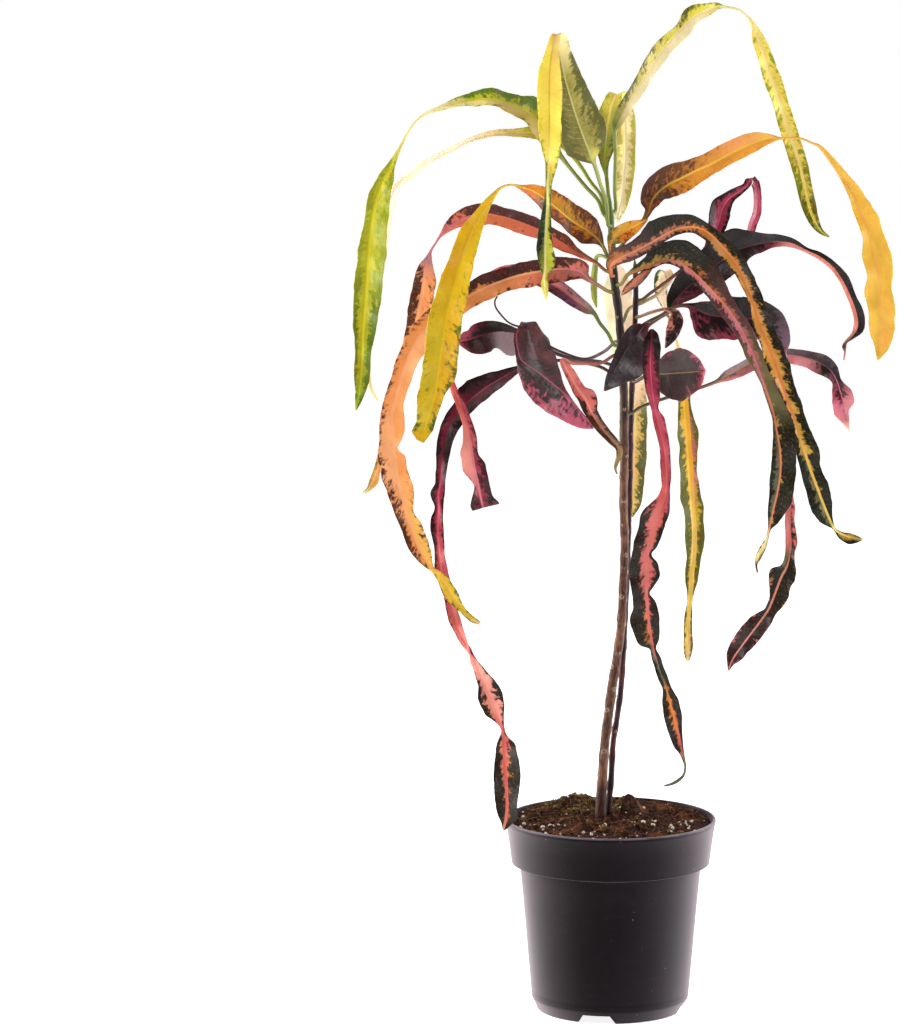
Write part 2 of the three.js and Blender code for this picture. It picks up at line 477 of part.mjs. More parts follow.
      [179, 513, 44, 4.5, 3.5, 10], [182, 504, 45, 7, 9, 0], [184, 497, 45, 8.5, 9.5, 0],
      [185, 489, 46, 8.5, 4.5, 0], [187, 481, 46, 4.5, 2.5, 0], [190.5, 471, 46, 0.6, 0.6, 0],
    ],
  },
  front_purple_leaf: {
    stem: 'second', at: 550, colour: 'maroon',
    rows: [
      [23, 556, -12, 1.4, 1.4, 0], [25.5, 557.5, -17, 3.5, 3.5, 0], [19, 549, -21.5, 9, 9.5, 0],
      [12, 539, -29.5, 8.5, 17, 0], [5, 527, -37, 6, 21, 0], [-1, 515, -41, 4.5, 11, 0],
      [-6.5, 504.5, -44, 0.7, 0.7, 0],
    ],
  },
  front_round_leaf: {
    stem: 'second', at: 512, colour: 'maroon',
    rows: [
      [28, 517, -10, 1.4, 1.4, 0], [35, 518, -18, 5, 6, 0], [41, 518, -22, 15, 13, 0],
      [47, 518.5, -26, 20, 17, 0], [55, 519, -30, 22, 20, 0], [62, 519.5, -34, 19.5, 19.5, 0],
      [68, 520, -37, 15, 15, 0], [71.2, 520.4, -38.4, 10.5, 10.5, 0], [73.2, 520.7, -39.2, 5.5, 5.5, 0],
      [74, 520.9, -39.6, 1.2, 1.2, 0],
    ],
  },
  front_crimson_leaf: {
    stem: 'second', at: 532, colour: 'crimson',
    rows: [
      [26, 537, -4, 1.4, 1.4, 0], [31, 545, -26, 1.6, 1.6, 0], [31, 552.5, -44, 2.4, 2.4, OVER],
      [31, 546, -54, 5, 6, 0], [30.5, 538, -57, 7, 8, 0], [30, 525, -60, 6.5, 7.5, 0],
      [31, 512, -63, 5.5, 6.5, 0], [32.5, 500, -65, 4.5, 5.5, 5], [34, 490, -66, 3, 2.8, 5],
      [36, 481, -67, 3.5, 6, 5], [39.5, 468, -68, 3.5, 5, 10], [42, 455, -69, 4, 4.5, 10],
      [43.5, 440, -70, 4.5, 3.7, 10], [43.5, 428, -70, 4, 3, 10], [42, 418, -70, 5.5, 4.8, 5],
      [39, 409, -70, 10, 7.5, 0], [35.5, 400, -70, 13.5, 8, 0], [32.5, 391, -70, 11.5, 8, 0],
      [30, 381, -70, 12, 7, 0], [28.5, 373, -69, 12, 3.5, 0], [28, 365, -69, 13, 9, 0],
      [28.5, 356, -68, 14, 10, 0], [28.5, 348, -68, 13, 6, 0], [28, 341, -67, 11.5, 2.5, 0],
      [28.5, 333, -67, 11, 7, 0], [29.5, 322, -66, 14.5, 9, 0], [31, 311, -65, 13.5, 7.5, 0],
      [32.5, 302, -64, 10, 6, 0], [34, 295, -63, 2.8, 2, 5], [36.5, 286, -62, 3.5, 4, 10],
      [40.5, 274, -61, 3.5, 4, 10], [44, 264, -60, 3, 4, 5], [47, 253, -59, 6, 7, 0],
      [50.5, 241, -58, 8, 6.5, 0], [53.5, 230, -57, 8, 4, 0], [56, 219, -56, 6.5, 2, 0],
      [58.5, 208, -55, 2.2, 1, 0], [60, 198, -54, 0.8, 0.8, 0], [58.5, 191.5, -54, 1, 1, 0],
      [54, 187, -53, 1.4, 1.2, 0], [49, 184.5, -53, 1, 1, 0], [43, 183, -53, 0.6, 0.6, 0],
    ],
  },
  right_hanging_leaf: {
    stem: 'second', at: 556, colour: 'maroon',
    rows: [
      [28, 560, 1, 1.3, 1.3, 0], [38, 565, 0, 1.3, 1.3, 0], [50, 572, -1, 1.3, 1.3, 0],
      [60, 573, -1, 2, 2, 0], [67, 570, -1, 10, 7, 0], [76, 566, 0, 20, 12, 0], [88, 564, 1, 18, 16, 0],
      [100, 563, 3, 17, 17, 0], [112, 562, 5, 16, 17, 0], [122, 558, 7, 14, 16, 0],
      [130, 551, 9, 10, 12, 0], [135, 543, 10, 5, 7, 0], [138, 532, 11, 1, 1, 0],
      [142, 515, 12, 0.9, 0.9, 0], [145, 490, 13, 0.9, 0.9, 0], [145.5, 460, 13, 0.9, 0.9, 0],
      [144, 432, 13, 1, 1, 0], [143, 418, 12, 2.4, 2.6, 0], [143, 410, 12, 3.5, 4, 0],
      [142.5, 400, 11, 4, 4, 5], [143, 390, 11, 4, 5, 5], [143.5, 382, 10, 4.5, 5.5, 5],
      [143, 374, 9, 4, 4, 5], [142, 367, 8, 4, 5, 0], [140, 361, 7, 5, 9, 0], [136.5, 354.5, 6, 11, 11, 0],
      [134, 348, 5, 8.5, 10, 0], [131.5, 341, 4, 5, 11, 0], [129, 334, 3, 3, 10, 0], [126, 327, 2, 3, 7, 0],
      [122, 321, 1, 6, 8, 0], [117, 314, 0, 9, 8.5, 0], [111, 306, -2, 9.5, 8.5, 0],
      [104.5, 297, -3, 9, 7, 0], [99, 289, -5, 7, 6, 0], [96, 283, -6, 3, 2.5, 0],
      [94.5, 277.5, -7, 0.6, 0.6, 0],
    ],
  },
  right_small_leaf: {
    stem: 'second', at: 564, colour: 'maroon',
    rows: [
      [32, 568, -8, 1.3, 1.3, 0], [43, 570, -16, 1.4, 1.4, 0], [49, 566.5, -20, 3, 4.5, 0],
      [50, 560, -22, 6, 6.5, 0], [49, 553, -23, 6.5, 5, 0], [46, 546, -24, 4.5, 3.5, 0],
      [42, 539, -25, 0.6, 0.6, 0],
    ],
  },
  left_upper_leaf: {
    stem: 'main', at: 600, colour: 'orange',
    rows: [
      [-13, 607, 5, 1.4, 1.4, 0], [-20, 611, 6, 2, 2, 10], [-30, 616, 8, 4, 3.5, 15],
      [-42, 624, 9, 7, 6, 20], [-56, 632, 10, 7.5, 7.5, 20], [-70, 638, 11, 8, 8, 20],
      [-85, 643, 11, 8.5, 8, 20], [-100, 646, 10, 8, 8, 20], [-112, 645, 8, 9, 8.5, 15],
      [-122, 641, 6, 7.5, 6, 10], [-131, 635, 3, 4.5, 3, 5], [-138, 628, 1, 1.1, 1.1, 0],
      [-141.5, 622.5, 0, 0.8, 0.8, 0], [-145, 617, -1, 1, 1, 0], [-147, 611, -1, 2.5, 3, 0],
      [-149.5, 603, -1, 6, 7, 5], [-151, 590, 0, 8.5, 10, 10], [-153.5, 575, 0, 9, 10, 10],
      [-157, 558, 0, 8, 9, 10], [-162, 540, 0, 6, 8, 10], [-168, 520, 0, 7, 9, 10],
      [-175, 498, -1, 7, 6, 10], [-179, 475, -2, 6, 5, 5], [-183.5, 455, -3, 4, 4, 0],
      [-188, 441, -4, 3, 3, 0], [-191.5, 432, -5, 3, 4.5, 0], [-195, 425.5, -6, 1.6, 2, 0],
      [-200, 421.5, -7, 0.6, 0.6, 0],
    ],
  },
  left_orange_leaf: {
    stem: 'main', at: 584, colour: 'orange',
    rows: [
      [-12, 589.5, -8, 1.5, 1.5, 0], [-20.5, 595, -12, 2.5, 2.5, 0], [-26, 600, -15, 9, 5.5, 5],
      [-34, 602, -18, 9.5, 8.5, 10], [-46, 602, -22, 10, 10.5, 15], [-60, 600, -26, 9.5, 11, 15],
      [-75, 597, -30, 10, 10.5, 15], [-90, 592, -34, 10, 9.5, 15], [-104, 586, -38, 10.5, 9.5, 15],
      [-117, 579, -41, 10.5, 9.5, 15], [-131, 570, -44, 10, 9.5, 15], [-144, 559.5, -47, 10, 10, 15],
      [-155, 546, -50, 10, 10, 15], [-163.5, 530, -53, 8.5, 9, 15], [-169, 513, -55, 8, 7.5, 15],
      [-173.5, 498, -57, 8.5, 7.5, 10], [-176, 485, -58, 9, 9.5, 10], [-176, 474, -58, 10.5, 10, 10],
      [-175.5, 465, -59, 11, 7, 10], [-175, 458, -59, 12, 3.5, 10], [-174, 450, -59, 12.5, 8.5, 10],
      [-172.5, 438, -60, 12.5, 9, 5], [-170, 426, -60, 11, 11, 5], [-167, 415, -60, 10, 8.5, 5],
      [-164.5, 406, -60, 9.5, 5.5, 5], [-160.5, 393, -60, 8, 9, 0], [-156.5, 382, -60, 8, 9, 0],
      [-151.5, 372, -60, 6.5, 7, 0], [-147, 364, -60, 3.5, 3.5, 0], [-143.5, 359.5, -60, 1.8, 1.8, 0],
      [-139, 356, -60, 3.5, 3, 0], [-133, 347, -60, 4.5, 5, 0], [-128.5, 339, -60, 5, 5.5, 0],
      [-124, 332, -60, 3.5, 4, 0], [-118, 325, -60, 2.5, 2.5, 0], [-112, 319.5, -60, 2.5, 2.5, 0],
      [-105.5, 316, -60, 1.2, 1.2, 0],
    ],
  },
  left_longest_leaf: {
    stem: 'main', at: 515, colour: 'coral',
    rows: [
      [-8, 523, 9, 1.3, 1.3, 0], [-20, 526.5, 14, 1.3, 1.3, 0], [-40, 529, 14, 1.3, 1.3, 0],
      [-58, 527.5, 10, 1.4, 1.4, 0], [-70, 524.5, 6, 1.7, 1.7, 0], [-80, 520, 2, 4, 4, 5],
      [-90, 514, -2, 7, 6, 10], [-100, 508, -6, 10.5, 7, 15], [-109, 501, -10, 13.5, 8, 15],
      [-114, 496.7, -11, 13.5, 8, 15], [-118, 493, -12, 8.5, 8, 15], [-124, 486.5, -14, 7, 8, 15],
      [-130, 477, -17, 7, 8.5, 15], [-134, 465, -20, 5.5, 7, 15], [-136, 452, -22, 5, 5.5, 15],
      [-137, 440, -24, 4.5, 5, 15], [-137.5, 430, -25, 4, 4, 15], [-139, 420, -26, 6.5, 4.5, 15],
      [-139, 410, -27, 3.5, 4, 15], [-139.5, 400, -28, 6, 4.5, 15], [-139.5, 388, -30, 5, 4.5, 15],
      [-138.5, 375, -32, 4, 4.5, 15], [-137, 362, -34, 5, 5, 15], [-134, 348, -37, 4.5, 4.5, 15],
      [-130, 334, -40, 4, 4.5, 15], [-126.5, 320, -43, 4.5, 4.5, 15], [-122, 308, -46, 4, 4, 20],
      [-116.5, 298, -48, 2.8, 2.5, 40], [-113, 291.5, -50, 1, 1, 60], [-110, 284, -51, 3.5, 2.5, 40],
      [-106.5, 277, -52, 4.5, 5, 20], [-102, 267, -54, 5.5, 8.5, 10], [-98, 257, -56, 9.5, 10, 10],
      [-94, 247, -58, 9.5, 8.5, 10], [-90.5, 239, -59, 5.5, 4.5, 10], [-88, 232, -60, 1.8, 1.8, 10],
      [-87, 228, -61, 1.5, 1.5, 10], [-86.5, 223, -62, 3.5, 3, 15], [-86, 216, -63, 6.5, 9, 20],
      [-85.5, 207, -64, 8.5, 10.5, 20], [-85, 198, -65, 9, 12, 20], [-84.5, 188, -66, 9.5, 11, 20],
      [-84, 178, -67, 10.5, 9.5, 20], [-83.5, 168, -68, 9.5, 8.5, 20], [-84, 160, -68, 7, 9.5, 20],
      [-85, 153, -68, 3.5, 5, 20], [-86.5, 146.5, -68, 0.8, 0.8, 20],
    ],
  },
  left_folded_leaf: {
    stem: 'main', at: 524, colour: 'maroon',
    rows: [
      [-10, 528, 2, 1.3, 1.3, 180], [-30, 530, 4, 1.3, 1.3, 180], [-50, 537, 3, 1.5, 1.5, 180],
      [-63, 550, 0, 4, 4, 180], [-68.5, 559.5, -5, 4.2, 4.2, OVER], [-68, 556, -14, 7.6, 7.6, 0],
      [-67, 548, -20, 11.7, 11.7, 0], [-63, 535, -27, 15, 15, 0], [-57, 523, -33, 19, 15, 0],
      [-49, 512, -38, 21, 10, 0], [-40, 501, -43, 19, 5, 0], [-30, 490, -47, 14, 3, 0],
      [-22, 481, -50, 8.5, 2.5, 0], [-15, 474.3, -52, 0.8, 0.8, 0],
    ],
    hook: [
      [-69.5, 555.5, -14.4, 0.8, 0.8, 0], [-76, 556.5, -16.6, 0.8, 0.8, 0], [-83, 559.5, -17, 0.7, 0.7, 0],
      [-89, 565.5, -17, 0.7, 0.7, 0], [-93.5, 572, -17, 0.7, 0.7, 0], [-94, 577, -17, 0.7, 0.7, 0],
      [-92, 580.5, -17, 0.6, 0.6, 0],
    ],
  },
  front_pink_leaf: {
    stem: 'main', at: 533, colour: 'coral',
    rows: [
      [-9, 527, -8, 1.3, 1.3, 0], [-22, 526.5, -12, 1.3, 1.3, 0], [-33, 527, -15, 1.5, 1.5, 0],
      [-39.5, 529, -18, 2.5, 2, OVER], [-38, 524, -24, 3, 4, 0], [-33, 515, -26, 3.5, 5.5, 0],
      [-27, 505, -27, 5, 5.5, 0], [-22.5, 499, -27.5, 5.5, 9.5, 0], [-19.5, 493.5, -28, 6, 8.5, 0],
      [-16.5, 487, -28, 5.5, 5, 0], [-12, 479.5, -28, 4.8, 4.5, 0], [-6, 471.5, -28, 4.2, 4.2, 0],
      [0, 464.5, -28, 3.4, 4, 0], [5, 458.5, -27.5, 2.6, 3, 0], [5.6, 451.5, -27, 2.4, 2, 0],
      [3.4, 446, -26.5, 1.6, 1.6, 0], [2.6, 441.5, -26, 1, 1, 0], [4, 437.5, -25.5, 0.6, 0.6, 0],
    ],
  },
  left_curl_leaf: {
    stem: 'main', at: 543, colour: 'maroon',
    rows: [
      [-7, 536, 18, 1.3, 1.3, 0], [-22, 530, 26, 1.3, 1.3, 0], [-42, 536, 24, 1.3, 1.3, 0],
      [-60, 545, 20, 1.5, 1.5, 0], [-67, 548, 18, 2.2, 2.5, 0], [-72, 549.8, 16, 2.8, 13, 0],
      [-80, 551.5, 13, 4.5, 19, 0], [-90, 552.5, 10, 7.5, 16, 0], [-99, 551, 7, 10, 13, 5],
      [-107, 548.5, 4, 10.5, 15, 10], [-114, 546, 2, 7.5, 12.5, 0], [-119, 545, 0, 7, 7, 0],
      [-122.5, 544.5, -1, 3, 3, 0],
    ],
  },
  left_salmon_leaf: {
    stem: 'main', at: 541, colour: 'coral',
    rows: [
      [-4, 551, -6, 1.4, 1.4, 0], [-10, 558.5, -7, 1.4, 1.4, 0], [-15, 566.5, -7, 2, 1.5, 0],
      [-20, 570, -7, 4, 4, 0], [-30, 577, -6, 5.5, 5.5, 5], [-42, 586, -4, 6.5, 6.5, 10],
      [-56, 594, -2, 7.5, 6, 10], [-72, 598, -1, 8, 8, 10], [-88, 596, -3, 8, 8, 10],
      [-102, 589, -7, 7, 7, 5], [-112, 580, -13, 4, 4, 0], [-119, 569, -20, 1, 1, 0],
      [-124, 555, -28, 0.9, 0.9, 0], [-128, 538, -36, 0.9, 0.9, 0], [-129.5, 521, -42, 1.2, 1.2, 0],
      [-127.5, 508, -46, 2.6, 2.6, 0], [-122, 494, -48, 3.2, 3.8, 0], [-117, 480, -50, 3.5, 4.5, 0],
      [-114, 467, -51, 5.5, 5.5, 0], [-112, 454, -52, 9.5, 4.5, 0], [-110.5, 444, -53, 9.5, 9, 0],
      [-108.5, 435, -53, 6, 9, 0], [-107, 428, -54, 3.5, 9, 0], [-105.5, 420, -54, 7, 9.5, 0],
      [-104, 413, -54, 9.5, 12, 0], [-103.2, 410, -54, 9, 13, 0],
    ],
  },
  back_yellow_leaf: {
    stem: 'main', at: 559, colour: 'gold',
    rows: [
      [13, 570.5, 14, 1.4, 1.4, 0], [25, 576, 20, 1.4, 1.4, 0], [38, 584, 27, 1.5, 1.5, 0],
      [45, 594, 35, 3, 3, 0], [42, 600.5, 43, 4.5, 4.5, OVER], [38, 596, 49, 6, 5, 180],
      [37.5, 588, 51, 6, 5, 180], [39, 579, 53, 4.5, 4, 180], [42, 571, 55, 2.2, 2.2, 180],
      [45, 563, 56, 1, 1, 90], [48.5, 552, 57, 1, 1, 0], [52, 541, 58, 2, 2, 0], [55, 525, 60, 5, 5, 0],
      [57, 510, 62, 6, 6, 0], [58.5, 495, 64, 6, 4, -10], [59.5, 480, 66, 7.5, 6.5, -20],
      [60.5, 470, 67, 9, 9, -20], [61, 460, 68, 7, 8, -20], [62, 450, 69, 9, 6, -20],
      [62.5, 440, 70, 8.5, 5.5, -20], [63, 430, 71, 8.5, 7, -20], [64, 420, 72, 9.5, 7, -20],
      [64.5, 410, 73, 7.5, 9.5, -20], [65.5, 400, 74, 7, 8.5, -20], [66, 390, 75, 7.5, 8.5, -20],
      [66, 380, 75, 7, 8, -15], [65.5, 370, 76, 5.5, 6.5, -10], [64.5, 360, 76, 5.5, 6, -5],
      [64, 350, 76, 5, 5, 0], [63.5, 342, 76, 3, 3, 0], [62.8, 333, 76, 2.2, 2.2, 0],
      [62, 322, 75, 3.5, 3, 0], [61.8, 310, 75, 3.8, 3.2, 0], [61.8, 298, 74, 3.8, 4, 0],
      [61.6, 290, 74, 2.8, 2.7, 0], [61.5, 285.5, 74, 1.2, 1.2, 0],
    ],
  },
  back_olive_leaf: {
    stem: 'main', at: 594, colour: 'pale',
    rows: [
      [1, 602, 16, 1.5, 1.5, 0], [2, 606, 28, 2.5, 2.5, OVER], [3, 596, 38, 8, 8, 180],
      [4, 582, 45, 12, 12, 185], [6, 568, 50, 11, 12, 185], [9, 550, 57, 11.5, 12, 185],
      [13, 528, 66, 11.5, 12, 185], [16.5, 507, 74, 10.5, 10.5, 185], [17.5, 490, 81, 10.5, 12, 185],
      [17.5, 472, 88, 10.5, 12, 185], [17, 455, 94, 11, 11, 185], [17, 440, 98, 9.5, 9, 185],
      [16.5, 425, 101, 9, 6, 185], [16, 412, 103, 7, 4, 185], [15.5, 402.5, 104, 1.2, 1.2, 185],
    ],
  },
  left_narrow_leaf: {
    stem: 'main', at: 609, colour: 'lime',
    rows: [
      [-9, 613, 16, 1.3, 1.3, 0], [-13, 612, 24, 1.6, 1.6, OVER], [-14.5, 602, 30, 2.4, 2.4, 180],
      [-15, 590, 34, 2.4, 2.8, 180], [-14.5, 580, 36, 2, 2.6, 180], [-13, 571.5, 37, 0.6, 0.6, 180],
    ],
  },
  front_bud_leaf: {
    stem: 'second', at: 596, colour: 'coral',
    rows: [
      [24, 601, 2, 1.2, 1.2, 0], [29.5, 603, -3, 1.8, 1.8, OVER], [27, 600, -9, 2.5, 2.5, 0],
      [20, 593.5, -12, 3.8, 3.8, 0], [12.5, 587.5, -13, 3, 3, 0], [7, 581.5, -14, 0.6, 0.6, 0],
    ],
  },
};

// The petiole springs straight out of the bark, a hair's breadth clear of it.
function rooted(leaf) {
  const stem = STEMS[leaf.stem];
  const { centre, radius } = stemAt(stem, leaf.at);
  const outward = slide(...leaf.rows[0].slice(0, 3)).sub(centre);
  outward.setZ(0).normalize();
  const bark = radius + SCAR_SWELL / 2 + GAP;
  const root = centre.clone().addScaledVector(outward, bark);
  const collar = centre.clone().addScaledVector(outward, bark + COLLAR).addScaledVector(UP, COLLAR / 4);
  return { outward, root, collar };
}

function visibleCosine(turn, fold) {
  return Math.max(0.5, Math.abs(Math.cos(THREE.MathUtils.degToRad(turn) + fold)));
}

function seenSides([, , , a, b, turn]) {
  if (turn === OVER) return [a, b];
  return [a / visibleCosine(turn, -FOLD), b / visibleCosine(turn, FOLD)];
}

function leafGeometry(leaf) {
  const { outward, root, collar } = rooted(leaf);
  const petiole = leaf.rows[0][3] > 2 ? PETIOLE_RADIUS : leaf.rows[0][3];
  const firstTurn = leaf.rows[0][5];
  const body = bladeGeometry(
    [root, collar, ...leaf.rows.map(([across, up, depth]) => slide(across, up, depth))],
    [[petiole + 0.3, petiole + 0.3], [petiole, petiole], ...leaf.rows.map(seenSides)],
    [firstTurn, firstTurn, ...leaf.rows.map((row) => row[5])],
    outward,
  );
  if (!leaf.hook) return body;
  const hookPoints = leaf.hook.map(([across, up, depth]) => slide(across, up, depth));
  const start = hookPoints[1].clone().sub(hookPoints[0]).normalize();
  const hook = bladeGeometry(hookPoints, leaf.hook.map(seenSides), leaf.hook.map((row) => row[5]), start);
  return toGeometry(toSolid(body).add(toSolid(hook)));
}

// A blade along a spine: half widths to both sides and the turn of the upper face at every point.
function bladeGeometry(points, sides, turns, outward) {

  const curve = new THREE.CatmullRomCurve3(points, false, 'centripetal');
  const heading = (t) => (t === 0 ? outward.clone() : curve.getTangent(t));
  const stops = [0];
  for (let i = 1; i < points.length; i += 1) stops.push(stops[i - 1] + points[i].distanceTo(points[i - 1]));

  const faces = points.map((point, i) => {
    const along = heading(i / (points.length - 1));
    const face = turns[i] === OVER ? UP.clone() : EYE.clone().sub(point).normalize();
    face.addScaledVector(along, -face.dot(along)).normalize();
    if (turns[i] !== OVER) face.applyAxisAngle(along, THREE.MathUtils.degToRad(turns[i]));
    return face;
  });

  const rings = [];
  for (let i = 0; i + 1 < points.length; i += 1) {
    const narrow = Math.max(...sides[i], ...sides[i + 1]) * 2 < THREAD_WIDTH;
    const length = stops[i + 1] - stops[i];
    const steps = Math.max(1, Math.round(length / (narrow ? THREAD_STEP : BLADE_STEP)));
    const final = i + 2 === points.length ? 1 : 0;
    for (let j = 0; j < steps + final; j += 1) {
      const f = j / steps;
      const t = (i + f) / (points.length - 1);
      const at = stops[i] + length * f;
      const along = heading(t);
      const face = faces[i].clone().lerp(faces[i + 1], f);
      face.addScaledVector(along, -face.dot(along)).normalize();
      const aSides = sides.map((side) => side[0]);
      const bSides = sides.map((side) => side[1]);
      rings.push(leafRing(curve.getPoint(t), along, face, aSides, bSides, stops, at));
    }
  }
  return loft(rings, [[0, 1, 2], [0, 2, 5], [5, 2, 3], [5, 3, 4]], [4, 5]);
}

// Six corners: the a edge above and below, the midrib and the b edge below, the b edge and the midrib above.
function leafRing(centre, along, face, aSides, bSides, stops, at) {
  const side = along.clone().cross(face);
  const a = Math.max(NARROWEST, glide(stops, aSides, at));
  const b = Math.max(NARROWEST, glide(stops, bSides, at));
  const blade = THREE.MathUtils.smoothstep(a + b, THREAD_WIDTH, FULL_BLADE_WIDTH);
  const middle = THREE.MathUtils.lerp(Math.max(a + b, 1.1), MIDRIB_THICKNESS, blade) / 2;
  const edge = THREE.MathUtils.lerp(Math.max((a + b) / 2, EDGE_THICKNESS), EDGE_THICKNESS, blade) / 2;
  const wave = WAVE * blade;
  const aLift = a * Math.sin(FOLD) * blade + wave * Math.sin((2 * Math.PI * at) / WAVE_LENGTH);
  const bLift = b * Math.sin(FOLD) * blade + wave * Math.sin((2 * Math.PI * at) / WAVE_LENGTH + 2);
  const aReach = a * THREE.MathUtils.lerp(1, Math.cos(FOLD), blade);
  const bReach = b * THREE.MathUtils.lerp(1, Math.cos(FOLD), blade);
  const corner = (reach, lift) => centre.clone().addScaledVector(side, reach).addScaledVector(face, lift);
  return [
    corner(aReach, aLift + edge), corner(aReach, aLift - edge), corner(0, -middle),
    corner(-bReach, bLift - edge), corner(-bReach, bLift + edge), corner(0, middle),
  ];
}

function finish(color, roughness) {
  return new THREE.MeshStandardMaterial({ color, roughness, metalness: 0 });
}

const LEAF_COLOURS = {
  lime: '#b4b83a', gold: '#dcae3c', pale: '#ddc98c', orange: '#dc9350', coral: '#cf6a58', crimson: '#a82c42',
  maroon: '#4a2322', olive: '#585a28',
};
const LEAF_FINISHES = Object.fromEntries(
  Object.entries(LEAF_COLOURS).map(([name, colour]) => [name, finish(colour, 0.45)]),
);

const croton = new THREE.Group();

function place(name, geometry, material) {
  const mesh = new THREE.Mesh(geometry, material);
  mesh.name = name;
  croton.add(mesh);
}

place('pot', potGeometry(), finish('#3a3a3f', 0.45));
place('soil', soilGeometry(), finish('#3a2219', 1));
place('main_stem', stemGeometry(STEMS.main), finish('#6b5648', 0.8));
place('second_stem', stemGeometry(STEMS.second), finish('#44262a', 0.6));
for (const [name, leaf] of Object.entries(LEAVES)) {
  place(name, leafGeometry(leaf), LEAF_FINISHES[leaf.colour]);
}

export default croton;
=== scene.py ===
# A potted croton: a dark grey nursery pot of soil with two slim stems and long twisted leaves,
# many of them narrowed to a bare midrib part of the way along.
import bpy
import bmesh
import random
from math import radians, degrees, pi, sin, cos, exp, hypot, sqrt
from mathutils import Vector, Matrix, noise


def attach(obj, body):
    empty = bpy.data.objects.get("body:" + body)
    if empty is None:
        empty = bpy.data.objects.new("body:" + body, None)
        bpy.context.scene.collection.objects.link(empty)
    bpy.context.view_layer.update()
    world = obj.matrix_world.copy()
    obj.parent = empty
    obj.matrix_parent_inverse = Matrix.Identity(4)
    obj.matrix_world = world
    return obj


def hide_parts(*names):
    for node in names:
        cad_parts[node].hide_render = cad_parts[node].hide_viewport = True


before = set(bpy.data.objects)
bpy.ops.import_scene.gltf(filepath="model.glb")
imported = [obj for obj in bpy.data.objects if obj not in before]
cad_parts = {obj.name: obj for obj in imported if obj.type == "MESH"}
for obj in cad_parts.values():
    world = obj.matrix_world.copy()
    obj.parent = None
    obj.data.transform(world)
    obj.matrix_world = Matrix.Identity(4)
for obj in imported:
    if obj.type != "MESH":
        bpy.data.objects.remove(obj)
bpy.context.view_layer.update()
scene = bpy.context.scene
up = Vector((0, 0, 1))
toMetres = Matrix.Diagonal((0.001, 0.001, 0.001, 1))

# camera: place in m, tilt from straight down in degrees, lens, sensor and reach
cameraLook = {"place": (-0.1298, -4.5, 1.09), "tilt": 81.365, "lens": 199.65, "sensor": 36, "clipEnd": 200}
cameraData = bpy.data.cameras.new("studioCamera")
cameraData.lens = cameraLook["lens"]
cameraData.sensor_width = cameraLook["sensor"]
cameraData.clip_end = cameraLook["clipEnd"]
camera = bpy.data.objects.new("studioCamera", cameraData)
camera.location = cameraLook["place"]
camera.rotation_euler = (radians(cameraLook["tilt"]), 0, 0)
scene.collection.objects.link(camera)
scene.camera = camera
scene.view_settings.view_transform = "Standard"
print("camera ready")


def mix(a, b, t):
    return a + (b - a) * t


def smoothStep(x, low, high):
    t = max(0.0, min(1.0, (x - low) / (high - low)))
    return t * t * (3 - 2 * t)


def glider(stops, values):
    # value between listed stops with no overshoot
    last = len(stops) - 1
    slopes = [(values[i + 1] - values[i]) / (stops[i + 1] - stops[i]) for i in range(last)]
    tangents = [slopes[0]]
    for before, after in zip(slopes, slopes[1:]):
        product = before * after
        tangents.append(0 if product <= 0 else 2 * product / (before + after))
    tangents.append(slopes[-1])

    def at(place):
        if place <= stops[0]:
            return values[0]
        if place >= stops[last]:
            return values[last]
        i = 0
        while stops[i + 1] < place:
            i += 1
        span = stops[i + 1] - stops[i]
        f = (place - stops[i]) / span
        f2, f3 = f * f, f * f * f
        return (values[i] * (2 * f3 - 3 * f2 + 1) + tangents[i] * span * (f3 - 2 * f2 + f)
                + values[i + 1] * (3 * f2 - 2 * f3) + tangents[i + 1] * span * (f3 - f2))
    return at


def pair(text):
    # the two halves of "a/b", or "a" twice
    halves = text.split("/")
    return halves[0], halves[-1]


def finishedPiece(name, bm, materials, nodeName=None):
    # the bmesh becomes an object at the origin that rides on the plant's one body
    mesh = bpy.data.meshes.new(name)
    bm.to_mesh(mesh)
    bm.free()
    for material in materials:
        mesh.materials.append(material)
    piece = bpy.data.objects.new(name, mesh)
    scene.collection.objects.link(piece)
    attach(piece, "root")
    if nodeName:
        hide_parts(nodeName)
    return piece


def sleeve(bm, rings, tag=None, twoSided=False):
    # a sheet wrapped round into a tube through the rings; closeSleeves joins its seam and ends
    across, along = len(rings[0]), len(rings) - 1
    verts = bmesh.ops.create_grid(bm, x_segments=across, y_segments=along, size=1)["verts"]
    for face in {face for vert in verts for face in vert.link_faces}:
        face.smooth = True
        face.material_index = 1 if twoSided and face.calc_center_median().x >= 0 else 0
    for vert in verts:
        column = round((vert.co.x + 1) / 2 * across) % across
        row = round((vert.co.y + 1) / 2 * along)
        vert.co = rings[row][column]
        if tag:
            tag(vert, row, column)


def closeSleeves(bm):
    bmesh.ops.remove_doubles(bm, verts=bm.verts, dist=1e-7)
    rims = [edge for edge in bm.edges if edge.is_boundary]
    bmesh.ops.holes_fill(bm, edges=rims, sides=0)
    bmesh.ops.recalc_face_normals(bm, faces=bm.faces)


class Value:
    # a node's output in a material; sums and products of it are Math nodes
    def __init__(self, surface, socket):
        self.surface = surface
        self.socket = socket

    def __add__(self, other):
        return self.surface.math("ADD", self, other)

    def __sub__(self, other):
        return self.surface.math("SUBTRACT", self, other)

    def __rsub__(self, other):
        return self.surface.math("SUBTRACT", other, self)

    def __mul__(self, other):
        return self.surface.math("MULTIPLY", self, other)

    def __truediv__(self, other):
        return self.surface.math("DIVIDE", self, other)

    def __abs__(self):
        return self.surface.math("ABSOLUTE", self)


